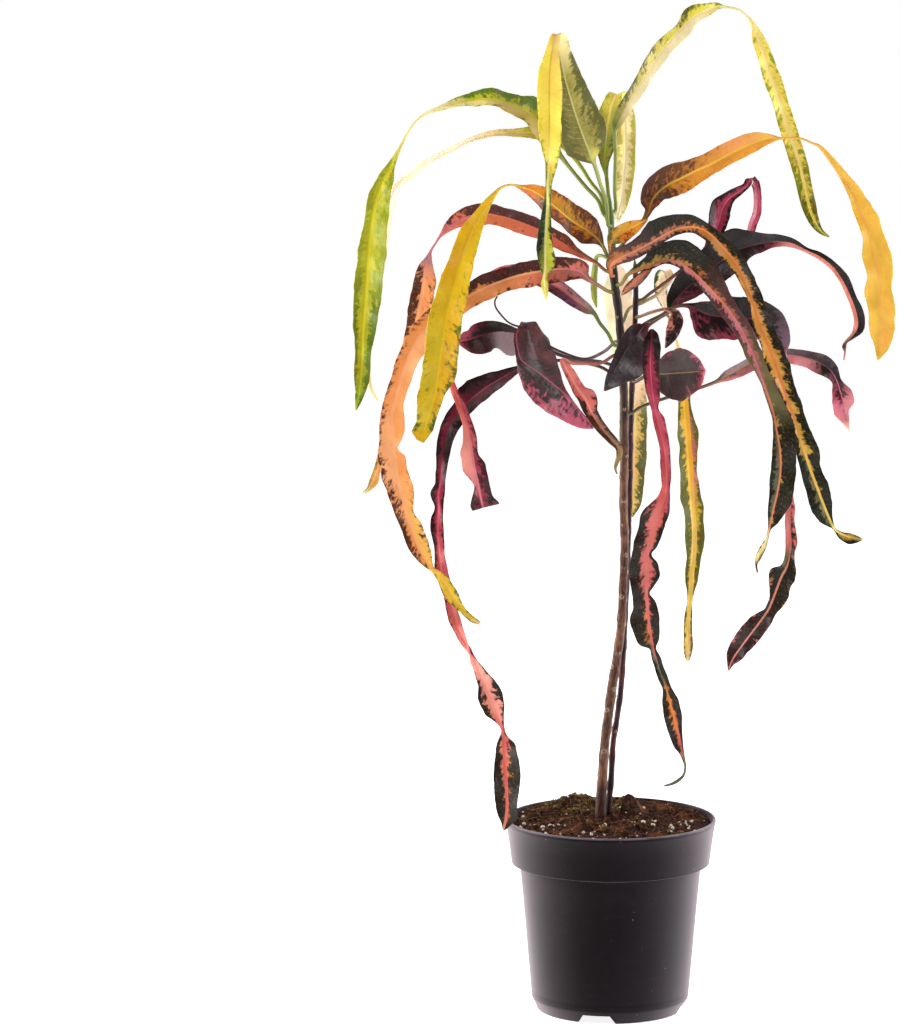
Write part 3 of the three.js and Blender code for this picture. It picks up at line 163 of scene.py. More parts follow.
class Surface:
    # a material whose nodes are added one call at a time
    def __init__(self, name):
        self.material = bpy.data.materials.new(name)
        self.material.use_nodes = True
        self.tree = self.material.node_tree
        self.shader = self.tree.nodes["Principled BSDF"]

    def feed(self, socket, value):
        if isinstance(value, Value):
            self.tree.links.new(value.socket, socket)
        elif value is not None:
            socket.default_value = value

    def node(self, kind, settings, inputs, output=0):
        # inputs by name or by number
        made = self.tree.nodes.new(kind)
        for key, value in settings.items():
            setattr(made, key, value)
        for key, value in inputs.items():
            self.feed(made.inputs[key], value)
        return Value(self, made.outputs[output])

    def math(self, operation, a, b=None, c=None, clamp=False):
        return self.node("ShaderNodeMath", {"operation": operation, "use_clamp": clamp}, {0: a, 1: b, 2: c})

    def ramp(self, value, low, high, toLow=0.0, toHigh=1.0):
        return self.node("ShaderNodeMapRange", {"interpolation_type": "SMOOTHSTEP"},
                         {0: value, 1: low, 2: high, 3: toLow, 4: toHigh})

    def blend(self, factor, a, b):
        return self.node("ShaderNodeMix", {"data_type": "RGBA"}, {0: factor, 6: a, 7: b}, 2)

    def blendValue(self, factor, a, b):
        return self.node("ShaderNodeMix", {}, {0: factor, 2: a, 3: b})

    def point(self, x, y, z):
        return self.node("ShaderNodeCombineXYZ", {}, {0: x, 1: y, 2: z})

    def split(self, vector):
        # the three parts of a vector or a colour
        apart = self.node("ShaderNodeSeparateXYZ", {}, {0: vector}).socket.node
        return [Value(self, socket) for socket in apart.outputs]

    def attribute(self, name, output="Color"):
        return self.node("ShaderNodeAttribute", {"attribute_name": name}, {}, output)

    def noise(self, vector, scale, detail=2.0, rough=0.5):
        return self.node("ShaderNodeTexNoise", {}, {"Vector": vector, "Scale": scale, "Detail": detail,
                                                    "Roughness": rough})

    def objectPlace(self, scale=None):
        place = self.node("ShaderNodeTexCoord", {}, {}, "Object")
        return self.node("ShaderNodeMapping", {}, {"Vector": place, "Scale": scale}) if scale else place

    def bump(self, height, distance, strength):
        settings = {"Height": height, "Distance": distance, "Strength": strength}
        self.feed(self.shader.inputs["Normal"], self.node("ShaderNodeBump", {}, settings))

    def paint(self, colour, roughness, **fixed):
        self.feed(self.shader.inputs["Base Color"], colour)
        self.feed(self.shader.inputs["Roughness"], roughness)
        for key, value in fixed.items():
            self.shader.inputs[key.replace("_", " ")].default_value = value


def linear(hexText):
    # screen colour to the linear numbers that shaders take
    parts = [int(hexText[i:i + 2], 16) / 255 for i in (0, 2, 4)]
    parts = [p / 12.92 if p <= 0.04045 else ((p + 0.055) / 1.055) ** 2.4 for p in parts]
    return (*parts, 1.0)


# leaf colours
palette = {
    "petioleGreen": "6e8440", "petioleOlive": "6a6a3c", "petioleDark": "59423a", "moss": "4b5c20",
    "deepGreen": "2e5026", "leafGreen": "8a9c2e", "lime": "abb030", "yellowGreen": "c3c044",
    "limeYellow": "cdc83c", "lemon": "f0dc6a", "lemonGold": "d8b83f", "straw": "eede9c", "cream": "f8ebc4",
    "gold": "eabb50", "goldPale": "e9cb72", "goldPeach": "eeb85c", "amber": "cf8a3a", "amberDark": "ac6a2c",
    "apricot": "ea9c60", "peach": "efae7c", "peachPale": "f6d8b8", "peachRose": "f3cdb6", "orange": "dd8238",
    "orangeDeep": "d6784a", "orangeSalmon": "d98868", "orangeBrown": "a8602c", "roseOrange": "d9835a",
    "salmon": "e08068", "coral": "cf6058", "coralDeep": "a8414d", "coralPale": "e89586", "rosyPink": "d47c84",
    "rose": "c95470", "pinkPale": "e89cab", "crimson": "952c45", "crimsonDark": "6e1c34", "wine": "551b2a",
    "maroon": "38191b", "cocoa": "3e2212", "brown": "66391c", "rust": "8e2f1d", "nearBlack": "140a0b",
    "blackGreen": "12170b", "charcoal": "241d20", "plum": "33272d", "plumGrey": "4a3f46", "mauve": "6f4f68",
    "greyRose": "9b7b82", "greyMauve": "a99ba4", "greyMaroon": "4b3333", "greyOlive": "6d6a44",
    "greyGreen": "59644b", "oliveGrey": "6b6a2a", "sage": "b3ad68", "sageGrey": "b3ae86",
    "sageYellow": "98933a", "oliveGold": "a98838", "oliveRib": "8f7540", "paleOlive": "bdb064",
    "paleRib": "c2c47c", "rosyBrown": "a36a5a", "roseRib": "a8435a", "mustard": "cda53c",
    "oliveYellow": "bfae3a", "oliveMark": "55602a", "leafDark": "50721f", "maroonDark": "271816",
    "rosyCoral": "cf7068", "honey": "d8983f", "slate": "3a3030",
}

# The leaves. Every row is a place on the midrib in mm, from the stem to the tip: across and up as seen
# from the camera, depth away from it, the half widths of the a and the b side where they differ, and the
# turn of the upper face from the viewer in degrees, or "over" where it looks straight up. A hook is a
# short blade of its own in the same leaf.
# The paint goes by row number: ground on the a and the b side, midrib, marks, how much of each side the
# marks cover, and half the width of the coloured midrib in mm.
# Hold is how far the marks keep to the margins where that isn't as in the leaves of its slot, calm the
# share of the usual waves, and ribShift the midrib's distance off the middle in mm by row number.
over = "over"
leaves = {
    "crown_right_leaf": {
        "stem": "main", "at": 648, "slot": "leaf_lime", "hold": 0.15, "calm": 0.6,
        "rows": """
            1 665 3 1.4, 1.5 695 12 1.4, 1 712 18 1.8, 3 717 20 3/5, 11 733 28 5/6 10, 20 748 36 6/5.5 20,
            32 767 46 6.5/8 20, 42 781 55 7 10, 52 792 64 8/5, 62 802 72 6/9, 73 808 80 5/5.5,
            82 811 86 2.5/3, 88 810.5 88 .9, 97 809 90 .8, 104 804.5 92 .8, 109 798 93 1.6/2,
            115 783 94 5.2/5.6 -10, 119 771 95 5.4/7 -20, 124 755 95 5.6/8.2 -25, 129 742 94 6/7.5 -25,
            133 731 93 6/7 -25, 137 718 91 6.5/7 -20, 141 706 89 7/7.2 -15, 145 694 86 7 -10,
            149 681 82 7/6.6 -10, 152 668 78 6.5/6.2 -10, 155 655 74 6 -10, 159 643 70 5/4.5 -10,
            165 633 66 2.5/2, 172 628 62 .6
        """,
        "paint": """
            -2 petioleGreen petioleGreen moss 0 0, 3 sage/petioleGreen sage moss .1/0 .6,
            4 cream/sage straw moss 0/.5 .6, 7 cream/yellowGreen straw moss 0/.35 .8,
            9 cream/limeYellow straw moss .05/.45 .8, 12 yellowGreen/limeYellow straw leafGreen .5/.35 .6,
            14 straw straw moss 0 .5, 16 lemon straw leafGreen .35 1, 22 lemon straw leafGreen .45/.4 1.2,
            27 lime lemon moss .6/.55 1, 29 leafGreen lime moss .6 .5
        """,
    },
    "crown_fold_leaf": {
        "stem": "main", "at": 637, "slot": "leaf_gold",
        "rows": """
            -5.6 656 -9 1.5 180, -10.6 671 -12 1.5 180, -15.5 687 -15 1.8 180, -17.5 691 -16 8/6 180,
            -20 698 -17 17/15 180, -24 708 -18 18/20 180, -29 722 -19 16/19 180, -34 738 -20 14/16.5 180,
            -39 756 -21 12/13 180, -42 772 -23 9 180, -43.5 783 -28 5.5/7 180, -45.2 788.7 -35 3.2/3.8 over,
            -47.8 782 -42 4.2/4.8, -49.6 771 -45 6/6.5, -51 757 -46 9 5, -51 740 -47 9.5/10 10,
            -51 720 -48 9/9.5 10, -51 700 -50 6.5/9 10, -51 685 -52 3/6.5 10, -52 670 -54 2/3 10,
            -52 655 -56 3.5/2.5 10, -53 640 -58 5/3.5 10, -54 622 -60 7/6 10, -54 610 -62 5.5/8 10,
            -54 601 -63 3.5/5 10, -54.3 597 -63.5 1.6 10, -54.5 590 -64 3 10, -53.6 583 -65 1.8 10,
            -53.2 578 -65.5 .6 10
        """,
        "paint": """
            -2 petioleGreen petioleGreen moss 0 0, 3 sageYellow/yellowGreen paleRib oliveMark .5/.2 .7,
            4.5 oliveGrey/sageYellow paleRib oliveMark .48/.5 .6,
            8 oliveGrey/sageYellow paleRib oliveMark .45/.5 .55,
            9.5 sageYellow/straw straw oliveMark .2/.15 .6, 11 goldPale/straw straw gold 0 .6,
            13 lemon/goldPale lemonGold lime .1/.05 .5, 16 lemon lemonGold lime .14/.08 .5,
            17.5 lemon straw leafGreen .4/.3 .8, 20 deepGreen/lime straw deepGreen .6/.35 .9,
            22 deepGreen/lime paleRib blackGreen .5/.3 .9, 24 leafGreen/lime straw deepGreen .4/.3 .8,
            26 yellowGreen straw leafGreen .2 .6, 28 lemon straw leafGreen 0 .4
        """,
    },
    "arch_left_leaf": {
        "stem": "main", "at": 644.5, "slot": "leaf_lime",
        "rows": """
            -12 657 5 1.5, -22 668 8 1.5, -32 680 12 1.5 10, -42 693 15 1.9 20, -48 702 18 6 30,
            -56 715 22 12/9 35, -66 726 26 13/8 35, -80 733 32 9.5/6.5 35, -98 737.5 40 8.5/5 35,
            -115 736 46 7/4 35, -133 732 50 2.5/2 30, -145 728 52 1.5/1.2 20, -152 724.5 53 1 10,
            -158 719 53 .9, -164 710 53 .9, -169 700 52 1.2, -176 686 51 3 10, -181 676 50 5.5/7 15,
            -187 660 49 7.5/10 20, -191 643 48 7/12.5 20, -193.5 622 47 8.5/13.5 20, -195 603 46 10/13 20,
            -196 585 45 10.5/12 20, -197.5 567 44 10/11 15, -199 550 43 7.5/9.5 10, -199.5 535 42 6.5/7 10,
            -200.5 518 41 6/7 10, -202.5 503 40 3.5/5 10, -205 489 39 .6 10
        """,
        "paint": """
            -2 petioleGreen petioleGreen moss 0 0, 4 leafGreen/sageGrey lime moss .5/.12 .5,
            6 lime/paleOlive yellowGreen leafDark .6/.2 .7, 9 lime/straw yellowGreen leafDark .5/.15 .7,
            10.5 cream/straw straw lime .2/.05 .5, 14 straw straw lime 0 .4,
            16 lime/limeYellow limeYellow leafGreen .4/.45 .6, 18 lime limeYellow leafGreen .5 1.2,
            21 lime limeYellow leafGreen .5/.56 1.2, 23 lime limeYellow leafDark .4/.5 1.1,
            25 lime/leafGreen limeYellow leafDark .45/.5 .9, 27 leafGreen lime leafDark .4/.5 .5
        """,
    },
    "arch_left_back_leaf": {
        "stem": "main", "at": 639.5, "slot": "leaf_pale", "calm": 0.25,
        "rows": """
            -10 661 14 1.4, -18 672 20 1.4 10, -27 686 28 1.5 20, -38 699 36 2 30, -46 705 42 5/4 40,
            -58 710.5 48 7/6 45, -75 710.5 56 4.5/4 55, -95 709.5 66 3.5/3 60, -110 706 74 3 60,
            -125 699 82 2.7 60, -140 691.5 90 2.8 55, -150 686 96 2.8 50, -160 678 101 2.8 45,
            -170 670 105 3 35, -178 655 108 5 25, -184 630 111 7/6 15, -188 600 112 8/5 10,
            -191 570 112 8/4.5 10, -194 540 111 6/2 10, -195 518 110 3/2 10, -192 504 109 1.5 10,
            -187 496 109 .6 10
        """,
        "paint": """
            -2 petioleGreen petioleGreen moss 0 0, 3 paleOlive/lime lime moss .1 .5,
            4.2 lime/yellowGreen lemon leafGreen .4/.3 .6, 5.5 lime/limeYellow lemon leafGreen .35/.2 .6,
            7 straw/peachPale straw lime .1/0 .6, 8.5 peachPale peachPale straw 0 .5,
            18 peachPale peachPale straw 0 .5, 20 straw straw lime 0 .4
        """,
    },
    "crown_back_leaf": {
        "stem": "main", "at": 651, "slot": "leaf_pale",
        "rows": """
            -4 662 14 1.4, -5.5 676 28 1.5, -7 688 38 4, -6 705 46 9, -4 722 52 8/9, -1 735 57 7,
            3 741.5 64 6 over, 7 736 71 6 180, 9 722 74 8.5/7.5 180, 10 705 76 8 185, 9.5 688 77 8 185,
            8 670 78 7.5/7 185, 6 655 78 6 185, 4 645 78 3 185, 3 638.5 78 .6 185
        """,
        "paint": """
            -2 petioleGreen petioleGreen moss 0 0, 2 leafGreen lime moss .4 .6,
            3 leafGreen/moss lime moss .5/.3 .8, 4.5 lime/yellowGreen lemon leafGreen .4/.35 .8,
            6 lemon/limeYellow straw lime .2/.3 .8, 8 straw/lemon straw lime .5/.45 1.1,
            11 straw cream lime .5/.45 1.4, 14 straw/cream cream lime .2 .8
        """,
    },
    "right_orange_leaf": {
        "stem": "main", "at": 618, "slot": "leaf_orange", "hold": 0.1,
        "rows": """
            10 625 -10 1.4, 20 635 -13 1.5, 28 648 -15 2.4/3, 30 655 -16 6/9 5, 35 663 -17 8/13 10,
            44 670 -18 11/14 10, 55 675.5 -19 12/13 10, 66 681 -21 10/10.5 10, 78 686.5 -22 8/9.5 10,
            90 693 -24 8/10 10, 102 699 -26 7.5/9.5 10, 114 704 -28 6.5/7.5 5, 124 706.5 -29 4/3.5,
            133 706.5 -30 1, 141 707 -30 .8, 150 706 -30 .8, 157 703 -30 .8, 163 700.5 -30 1.3,
            172 690 -30 1.8/2.8, 181 678 -30 2.5/4 -5, 189 664 -31 3.5/7.5 -10, 196 650 -32 5.2/9.6 -15,
            200 640 -33 5.5/11 -15, 204 628 -34 5.8/12 -15, 208 612 -35 9.5/13 -15,
            211 598 -36 8.8/12.3 -15, 212.5 585 -37 11.8/10 -15, 213 570 -38 9.5/12 -10,
            213.5 555 -38 9/11.5 -10, 213 542 -38 4.5/8.5 -5, 212 529.5 -38 1
        """,
        "paint": """
            -2 petioleGreen petioleGreen moss 0 0, 2.5 brown amberDark cocoa .4/.5 .6,
            4.5 amberDark oliveGold cocoa .56/.62 .7, 6 amber/amberDark gold brown .35/.56 .8,
            8 amber gold brown .1/.3 .8, 10 honey/apricot gold brown .06/.12 .8,
            12 honey/goldPeach gold brown .04 .6, 14 goldPeach gold brown 0 .3,
            18 goldPeach/gold goldPeach moss .02 .4, 21 gold goldPeach moss .04/.12 1,
            26 gold goldPeach moss .1/.16 1.2, 29 gold/goldPeach goldPeach moss .14/.12 1,
            30 gold gold moss .2 .5
        """,
    },
    "left_yellow_leaf": {
        "stem": "main", "at": 611, "slot": "leaf_gold", "hold": 0.16,
        "rows": """
            -8 620 -14 1.5, -13 627 -19 6/5 5, -22 634 -24 12/11 10, -33 641 -29 13/9 15,
            -44 650 -35 11.5/8.5 15, -55 659 -42 9/8 15, -65 665 -49 5.5/6 10, -74 668 -55 1.5/2 5,
            -80 669.5 -58 .8, -87 668.5 -62 .8, -92 665 -65 1.3, -98 656 -69 4/2 5, -105 645 -74 6/4.5 10,
            -112 632 -79 9/7 15, -117 620 -83 9.5/8.5 15, -122 605 -87 10/10.5 15, -126 590 -90 12/11.5 15,
            -130 575 -92 13/12.5 15, -133 560 -94 14/12 15, -135.5 545 -95 14/13.5 15,
            -137.5 530 -95 13.5/14 10, -139.5 515 -95 13.5/12.5 10, -142 500 -95 13.5/7 5,
            -146 487 -95 10.5/6.5, -149 477 -94 8/6.5, -151.5 469 -94 9.5/4.5, -154 464 -94 3
        """,
        "paint": """
            -2 petioleGreen petioleGreen moss 0 0, .6 brown oliveGold cocoa .5 .5,
            2 amberDark oliveGold cocoa .54/.56 .6, 3.5 oliveGold/amberDark gold brown .45/.56 .7,
            5 amber/amberDark gold brown .3/.5 .6, 6.5 amber/roseOrange gold brown 0/.15 .5,
            8.5 lemonGold/gold gold brown 0 .3, 11 lemonGold gold leafDark .04 .6,
            15 mustard/lemonGold lemonGold leafDark .16/.24 .7,
            19 oliveYellow/mustard lemonGold moss .2/.36 .7,
            22 oliveYellow/mustard lemonGold moss .28/.42 .7, 24 oliveYellow lemonGold moss .32/.42 .7,
            26 mustard/lemonGold lemonGold moss .3/.4 .6
        """,
    },
    "crown_small_leaf": {
        "stem": "main", "at": 604, "slot": "leaf_orange", "hold": 0.05,
        "rows": """
            -1 616 -12 1.4, -2 622 -15 2.5, 2 627.5 -18 6/6.5, 9 632 -21 7, 16 636 -24 6/5.5,
            22 639.5 -27 3.5/2.5, 27.5 642 -29 .6
        """,
        "paint": """
            -2 petioleOlive petioleOlive moss .2 .4, .5 amberDark/amber amber brown .6/.5 .5,
            1.6 oliveGold/mustard amber moss .5/.45 .6, 3 amber/mustard amber rust .5/.42 .6,
            4.5 amber gold brown .4/.3 .5, 6 amberDark amber brown .4 .4
        """,
    },
    "right_front_leaf": {
        "stem": "main", "at": 597, "slot": "leaf_olive",
        "rows": """
            -2 606 -11 3/4, 5 611 -15 5/9, 14 615 -19 6/8, 26 621 -24 6/10, 38 628 -30 5/15,
            50 634 -36 4.5/12 5, 64 636 -44 5/9 5, 76 631 -52 6, 88 619 -60 7/7.5 -5, 98 606 -68 5.5/8 -10,
            106 590 -77 3.5/8 -15, 112 573 -85 3/9.5 -20, 118 555 -92 4.5/9.5 -20, 124 540 -97 5.5/11 -20,
            129.5 527 -100 6.5/10.5 -20, 135 511 -103 5.5/10 -20, 140 497 -105 3/9.5 -20,
            145 483 -107 2.4/9 -20, 149 470 -109 2.4/10 -15, 154 455 -110 6.5/11 -10,
            159 440 -110 8/8.5 -10, 164 427 -110 9 -5, 169 414 -109 10.5/7.5, 174 402 -108 8/3,
            178.5 393 -108 1, 184 389 -107 4/1.5, 190 386.5 -106 5.5/3, 196 385 -105 3.5/2.5,
            201 384.5 -104 .6
        """,
        "paint": """
            -2 roseOrange/orangeBrown roseOrange brown .2/.3 .3,
            .5 roseOrange/amberDark roseOrange brown .4/.5 .4,
            2 rosyBrown/amberDark roseOrange greyMaroon .5/.6 .5,
            4 rosyBrown roseOrange blackGreen .5/.74 .5,
            6 amberDark/orangeBrown orange blackGreen .45/.74 .6,
            8 amber/amberDark orange blackGreen .3/.66 .8, 10 honey orange blackGreen .26/.6 1,
            13 honey orange blackGreen .28/.58 1, 16 honey/mustard orangeDeep blackGreen .35/.6 1,
            18 gold/mustard honey blackGreen .42/.6 1, 19.5 greyGreen/mustard gold blackGreen .6/.64 1,
            22 greyGreen/moss gold blackGreen .6/.8 .9, 24 greyOlive/moss lemon blackGreen .5/.7 .7,
            26 oliveGold gold blackGreen .4 .5, 28 moss/oliveGold oliveGold blackGreen .5/.4 .3
        """,
    },
    "right_second_leaf": {
        "stem": "main", "at": 590, "slot": "leaf_olive",
        "rows": """
            12 598 -10 1.5, 20 602 -13 2/4, 30 605 -16 3/9, 42 610 -20 3.5/14, 54 607 -24 4/18 5,
            66 598 -29 5/18 5, 78 586 -35 6/14, 88 575 -41 7/9, 97 563 -47 7 -5, 105 549 -53 6/8 -10,
            111 536 -57 6/8 -15, 116 523 -60 3.5/8 -15, 121 510 -62 2.5/9 -15, 125 498 -64 2/11 -10,
            129 485 -66 2/14 -10, 131.5 472 -67 3/15 -5, 134 458 -68 6/13, 135 445 -68 7.5/12,
            134 432 -68 8/12.5, 132 420 -67 6/12.5, 129.5 409 -66 4.5/10, 127.5 399 -65 2.5/5.5,
            125.8 391 -64 1, 124 384 -63 1.4, 120.5 376 -62 2.5, 117.5 370 -62 2/2.5, 116 364 -61 .9,
            117 357.5 -61 .6
        """,
        # the greyGreen ground of rows 13 to 20 is partly the blade's own grey-green, partly painted sheen on
        # the dark leaf
        "paint": """
            -2 petioleGreen petioleGreen moss 0 0,
            1.5 roseOrange/oliveGold orangeBrown blackGreen .45/.6 .4,
            3 rosyBrown/oliveGold orangeBrown blackGreen .45/.74 .4,
            5 rosyPink/orangeBrown roseOrange blackGreen .45/.76 .45,
            7 rosyPink/orangeBrown roseOrange greyMaroon .5/.7 .5,
            8.5 rosyPink/rosyBrown rosyPink greyMaroon .55/.6 .6,
            11 rosyPink/rosyBrown rosyPink greyOlive .55/.6 .6,
            13 rosyPink/greyGreen roseOrange greyOlive .5/.8 .8,
            15 greyGreen/mustard roseOrange blackGreen .5/.84 .7,
            18 greyGreen/mustard roseOrange blackGreen .45/.84 .7,
            20 greyGreen/orange roseOrange blackGreen .55/.82 .6,
            21.5 oliveGold roseOrange blackGreen .5/.8 .5, 23 straw straw greyGreen .3 .5,
            25 lemon/oliveGold straw cocoa .2/.5 .4, 26 cocoa cocoa cocoa .5 .3
        """,
    },
    "back_magenta_leaf": {
        "stem": "second", "at": 577, "slot": "leaf_crimson",
        "rows": """
            30 583 14 1.3, 45 594 19 1.3, 62 608 31 1.4, 74 619 44 2, 79 628 51 6 10, 84 640 56 7.5/9 20,
            86.5 650 58 7/9.5 20, 92 658.5 60 5/6 10, 100 664 62 3/4.5, 105.5 668.5 64 2.5/3,
            110 674.5 66 4.5 over, 113.6 667 69 3/3.5, 115 655 70 3.5/3, 114 646 71 3.5, 111 638 72 3.5,
            109 630 72 3, 107 622 72 .6
        """,
        "paint": """
            -2 petioleOlive petioleOlive moss 0 0, 3 crimson crimson nearBlack .2/.3 .4,
            5 crimson rose nearBlack .35/.55 .5, 8 crimsonDark/crimson rose nearBlack .5/.45 .5,
            10 crimson/crimsonDark rose nearBlack .3/.35 .4, 12 pinkPale/rose rose crimsonDark .1/.3 .3,
            16 pinkPale/rose rose crimsonDark .1/.3 .3
        """,
    },
    "back_dark_leaf": {
        "stem": "second", "at": 543, "slot": "leaf_maroon",
        "rows": """
            28 556 12 1.3, 37 563 13 1.3, 44 568 15 2, 50 578 18 6/8, 60 588 21 11/13, 72 598 24 13/14,
            84 607 27 15/17, 95 616 30 16/18 5, 106 620 33 10/14 10, 118 623 36 7/8.5 15, 130 624 38 4/6 15,
            142 622.5 40 3.2/4.5 10, 154 617 42 1.8/2.5 5, 164 612 43 2/4, 174 604.5 44 2.2/4.5,
            182 594 45 2.2/6, 189 580 46 2.5/5, 194 566 47 2.5/6.5, 195 556 47 3/6, 191 549 47 1.5/3,
            186 543.5 47 1.2, 184.7 540 47 1.9, 185.4 536 47 .8, 184.6 529.5 47 .7
        """,
        "paint": """
            -2 petioleOlive petioleOlive moss 0 0, 3 crimsonDark/maroon crimsonDark nearBlack .3/.8 .5,
            5 wine/maroon wine nearBlack .6/.85 .5, 8 maroon wine nearBlack .7/.8 .5,
            9.5 crimsonDark/charcoal wine nearBlack .4/.5 .5,
            11 rosyPink/charcoal salmon nearBlack .1/.7 .5, 14 salmon/charcoal salmon nearBlack .05/.8 .5,
            18 salmon/charcoal salmon nearBlack .05/.82 .5, 21 charcoal charcoal nearBlack .3 .3,
            23 salmon/rosyBrown salmon cocoa .1/.2 .3
        """,
    },
    "back_pink_leaf": {
        "stem": "main", "at": 486, "slot": "leaf_maroon",
        "rows": """
            22 491 2 1.3, 42 498.5 9 1.3, 62.8 504.6 16 1.3, 82 511.5 22 1.5, 93 517 26 4.5/5,
            102 522 29 6/5 5, 112 527 32 6/5 5, 126 532 35 6.5/6 5, 140 533 38 6.5/5.5 5,
            154 531 40 7.5/6 5, 166 526.5 42 8.5/8, 174 521 43 7/6.5, 179 513 44 4.5/3.5 10, 182 504 45 7/9,
            184 497 45 8.5/9.5, 185 489 46 8.5/4.5, 187 481 46 4.5/2.5, 190.5 471 46 .6
        """,
        "paint": """
            -2 petioleOlive petioleOlive moss 0 0, 2 petioleDark petioleDark moss 0 0,
            4 rosyPink/greyRose oliveGold mauve .3/.15 .6, 6 rosyPink/greyRose oliveGold mauve .35/.2 .7,
            7.5 rosyPink/plumGrey rosyPink mauve .15/.3 .5, 9 rosyPink/plumGrey rosyBrown maroon .1/.5 .5,
            10.5 maroon/plumGrey wine nearBlack .6 .4, 12 crimsonDark/maroon rose nearBlack .5/.6 .4,
            14 rose/rosyPink rose wine .4/.3 .4, 16 rosyPink rose wine .1 .3, 17 cream cream wine 0 .2
        """,
    },
    "front_purple_leaf": {
        "stem": "second", "at": 550, "slot": "leaf_maroon",
        "rows": """
            23 556 -12 1.4, 25.5 557.5 -17 3.5, 19 549 -21.5 9/9.5, 12 539 -29.5 8.5/17, 5 527 -37 6/21,
            -1 515 -41 4.5/11, -6.5 504.5 -44 .7
        """,
        "paint": """
            -2 crimsonDark/maroon wine nearBlack .1 .3, 1 crimsonDark wine maroonDark .45 .3,
            2.2 plum plumGrey maroonDark .45 .35, 4 plum plumGrey maroonDark .45/.3 .35,
            5 plum plumGrey nearBlack .35/.2 .3
        """,
    },
    "front_round_leaf": {
        "stem": "second", "at": 512, "slot": "leaf_maroon",
        "rows": """
            28 517 -10 1.4, 35 518 -18 5/6, 41 518 -22 15/13, 47 518.5 -26 20/17, 55 519 -30 22/20,
            62 519.5 -34 19.5, 68 520 -37 15, 71.2 520.4 -38.4 10.5, 73.2 520.7 -39.2 5.5,
            74 520.9 -39.6 1.2
        """,
        "paint": """
            -2 maroon wine nearBlack .3 .4, 1 wine oliveRib slate .8 .4,
            3 crimsonDark/crimson oliveRib slate .8/.72 .3, 5 crimson oliveRib slate .7/.68 .3,
            6.6 crimson/rose crimson slate .5/.54 .3, 7.6 rose crimson maroonDark .3/.35 .3,
            9 rose rose maroon .1 .3
        """,
    },
    "front_crimson_leaf": {
        "stem": "second", "at": 532, "slot": "leaf_crimson",
        "rows": """
            26 537 -4 1.4, 31 545 -26 1.6, 31 552.5 -44 2.4 over, 31 546 -54 5/6, 30.5 538 -57 7/8,
            30 525 -60 6.5/7.5, 31 512 -63 5.5/6.5, 32.5 500 -65 4.5/5.5 5, 34 490 -66 3/2.8 5,
            36 481 -67 3.5/6 5, 39.5 468 -68 3.5/5 10, 42 455 -69 4/4.5 10, 43.5 440 -70 4.5/3.7 10,
            43.5 428 -70 4/3 10, 42 418 -70 5.5/4.8 5, 39 409 -70 10/7.5, 35.5 400 -70 13.5/8,
            32.5 391 -70 11.5/8, 30 381 -70 12/7, 28.5 373 -69 12/3.5, 28 365 -69 13/9, 28.5 356 -68 14/10,
            28.5 348 -68 13/6, 28 341 -67 11.5/2.5, 28.5 333 -67 11/7, 29.5 322 -66 14.5/9,
            31 311 -65 13.5/7.5, 32.5 302 -64 10/6, 34 295 -63 2.8/2 5, 36.5 286 -62 3.5/4 10,
            40.5 274 -61 3.5/4 10, 44 264 -60 3/4 5, 47 253 -59 6/7, 50.5 241 -58 8/6.5, 53.5 230 -57 8/4,
            56 219 -56 6.5/2, 58.5 208 -55 2.2/1, 60 198 -54 .8, 58.5 191.5 -54 1, 54 187 -53 1.4/1.2,
            49 184.5 -53 1, 43 183 -53 .6
        """,
        "paint": """
            -2 maroon crimsonDark nearBlack .3 .4, 3.5 maroon crimsonDark nearBlack .6/.65 .5,
            5 crimson rose maroonDark .5/.55 .5, 6.5 coralDeep/crimson rose maroon .15/.3 .4,
            8 coralDeep rose crimsonDark .12/.2 .4, 12 coralDeep coral crimsonDark .15/.25 .5,
            14 coral/coralDeep coral crimsonDark .2/.3 .7,
            15.5 rosyCoral/coral rosyCoral blackGreen .45 1.2, 17 rosyCoral rosyCoral blackGreen .6/.5 1.4,
            20 rosyCoral rosyCoral blackGreen .62/.5 1.5,
            23 rosyCoral/coral rosyCoral blackGreen .7/.62 1.3, 26 orange/coral rosyCoral blackGreen .85 1,
            28 greyGreen/blackGreen coral blackGreen .5/.7 .6,
            30 greyGreen/blackGreen greyGreen blackGreen .6 .2, 32 orange orange blackGreen .72/.75 .8,
            33.5 orange/coral orange blackGreen .6/.66 .8, 35 coral coral blackGreen .7/.75 .6,
            36.5 greyOlive/blackGreen greyOlive blackGreen .5 .3, 40 greyGreen greyGreen blackGreen .3 .2
        """,
    },
    "right_hanging_leaf": {
        "stem": "second", "at": 556, "slot": "leaf_maroon",
        "rows": """
            28 560 1 1.3, 38 565 0 1.3, 50 572 -1 1.3, 60 573 -1 2, 67 570 -1 10/7, 76 566 0 20/12,
            88 564 1 18/16, 100 563 3 17, 112 562 5 16/17, 122 558 7 14/16, 130 551 9 10/12, 135 543 10 5/7,
            138 532 11 1, 142 515 12 .9, 145 490 13 .9, 145.5 460 13 .9, 144 432 13 1, 143 418 12 2.4/2.6,
            143 410 12 3.5/4, 142.5 400 11 4 5, 143 390 11 4/5 5, 143.5 382 10 4.5/5.5 5, 143 374 9 4 5,
            142 367 8 4/5, 140 361 7 5/9, 136.5 354.5 6 11, 134 348 5 8.5/10, 131.5 341 4 5/11,
            129 334 3 3/10, 126 327 2 3/7, 122 321 1 6/8, 117 314 0 9/8.5, 111 306 -2 9.5/8.5,
            104.5 297 -3 9/7, 99 289 -5 7/6, 96 283 -6 3/2.5, 94.5 277.5 -7 .6
        """,
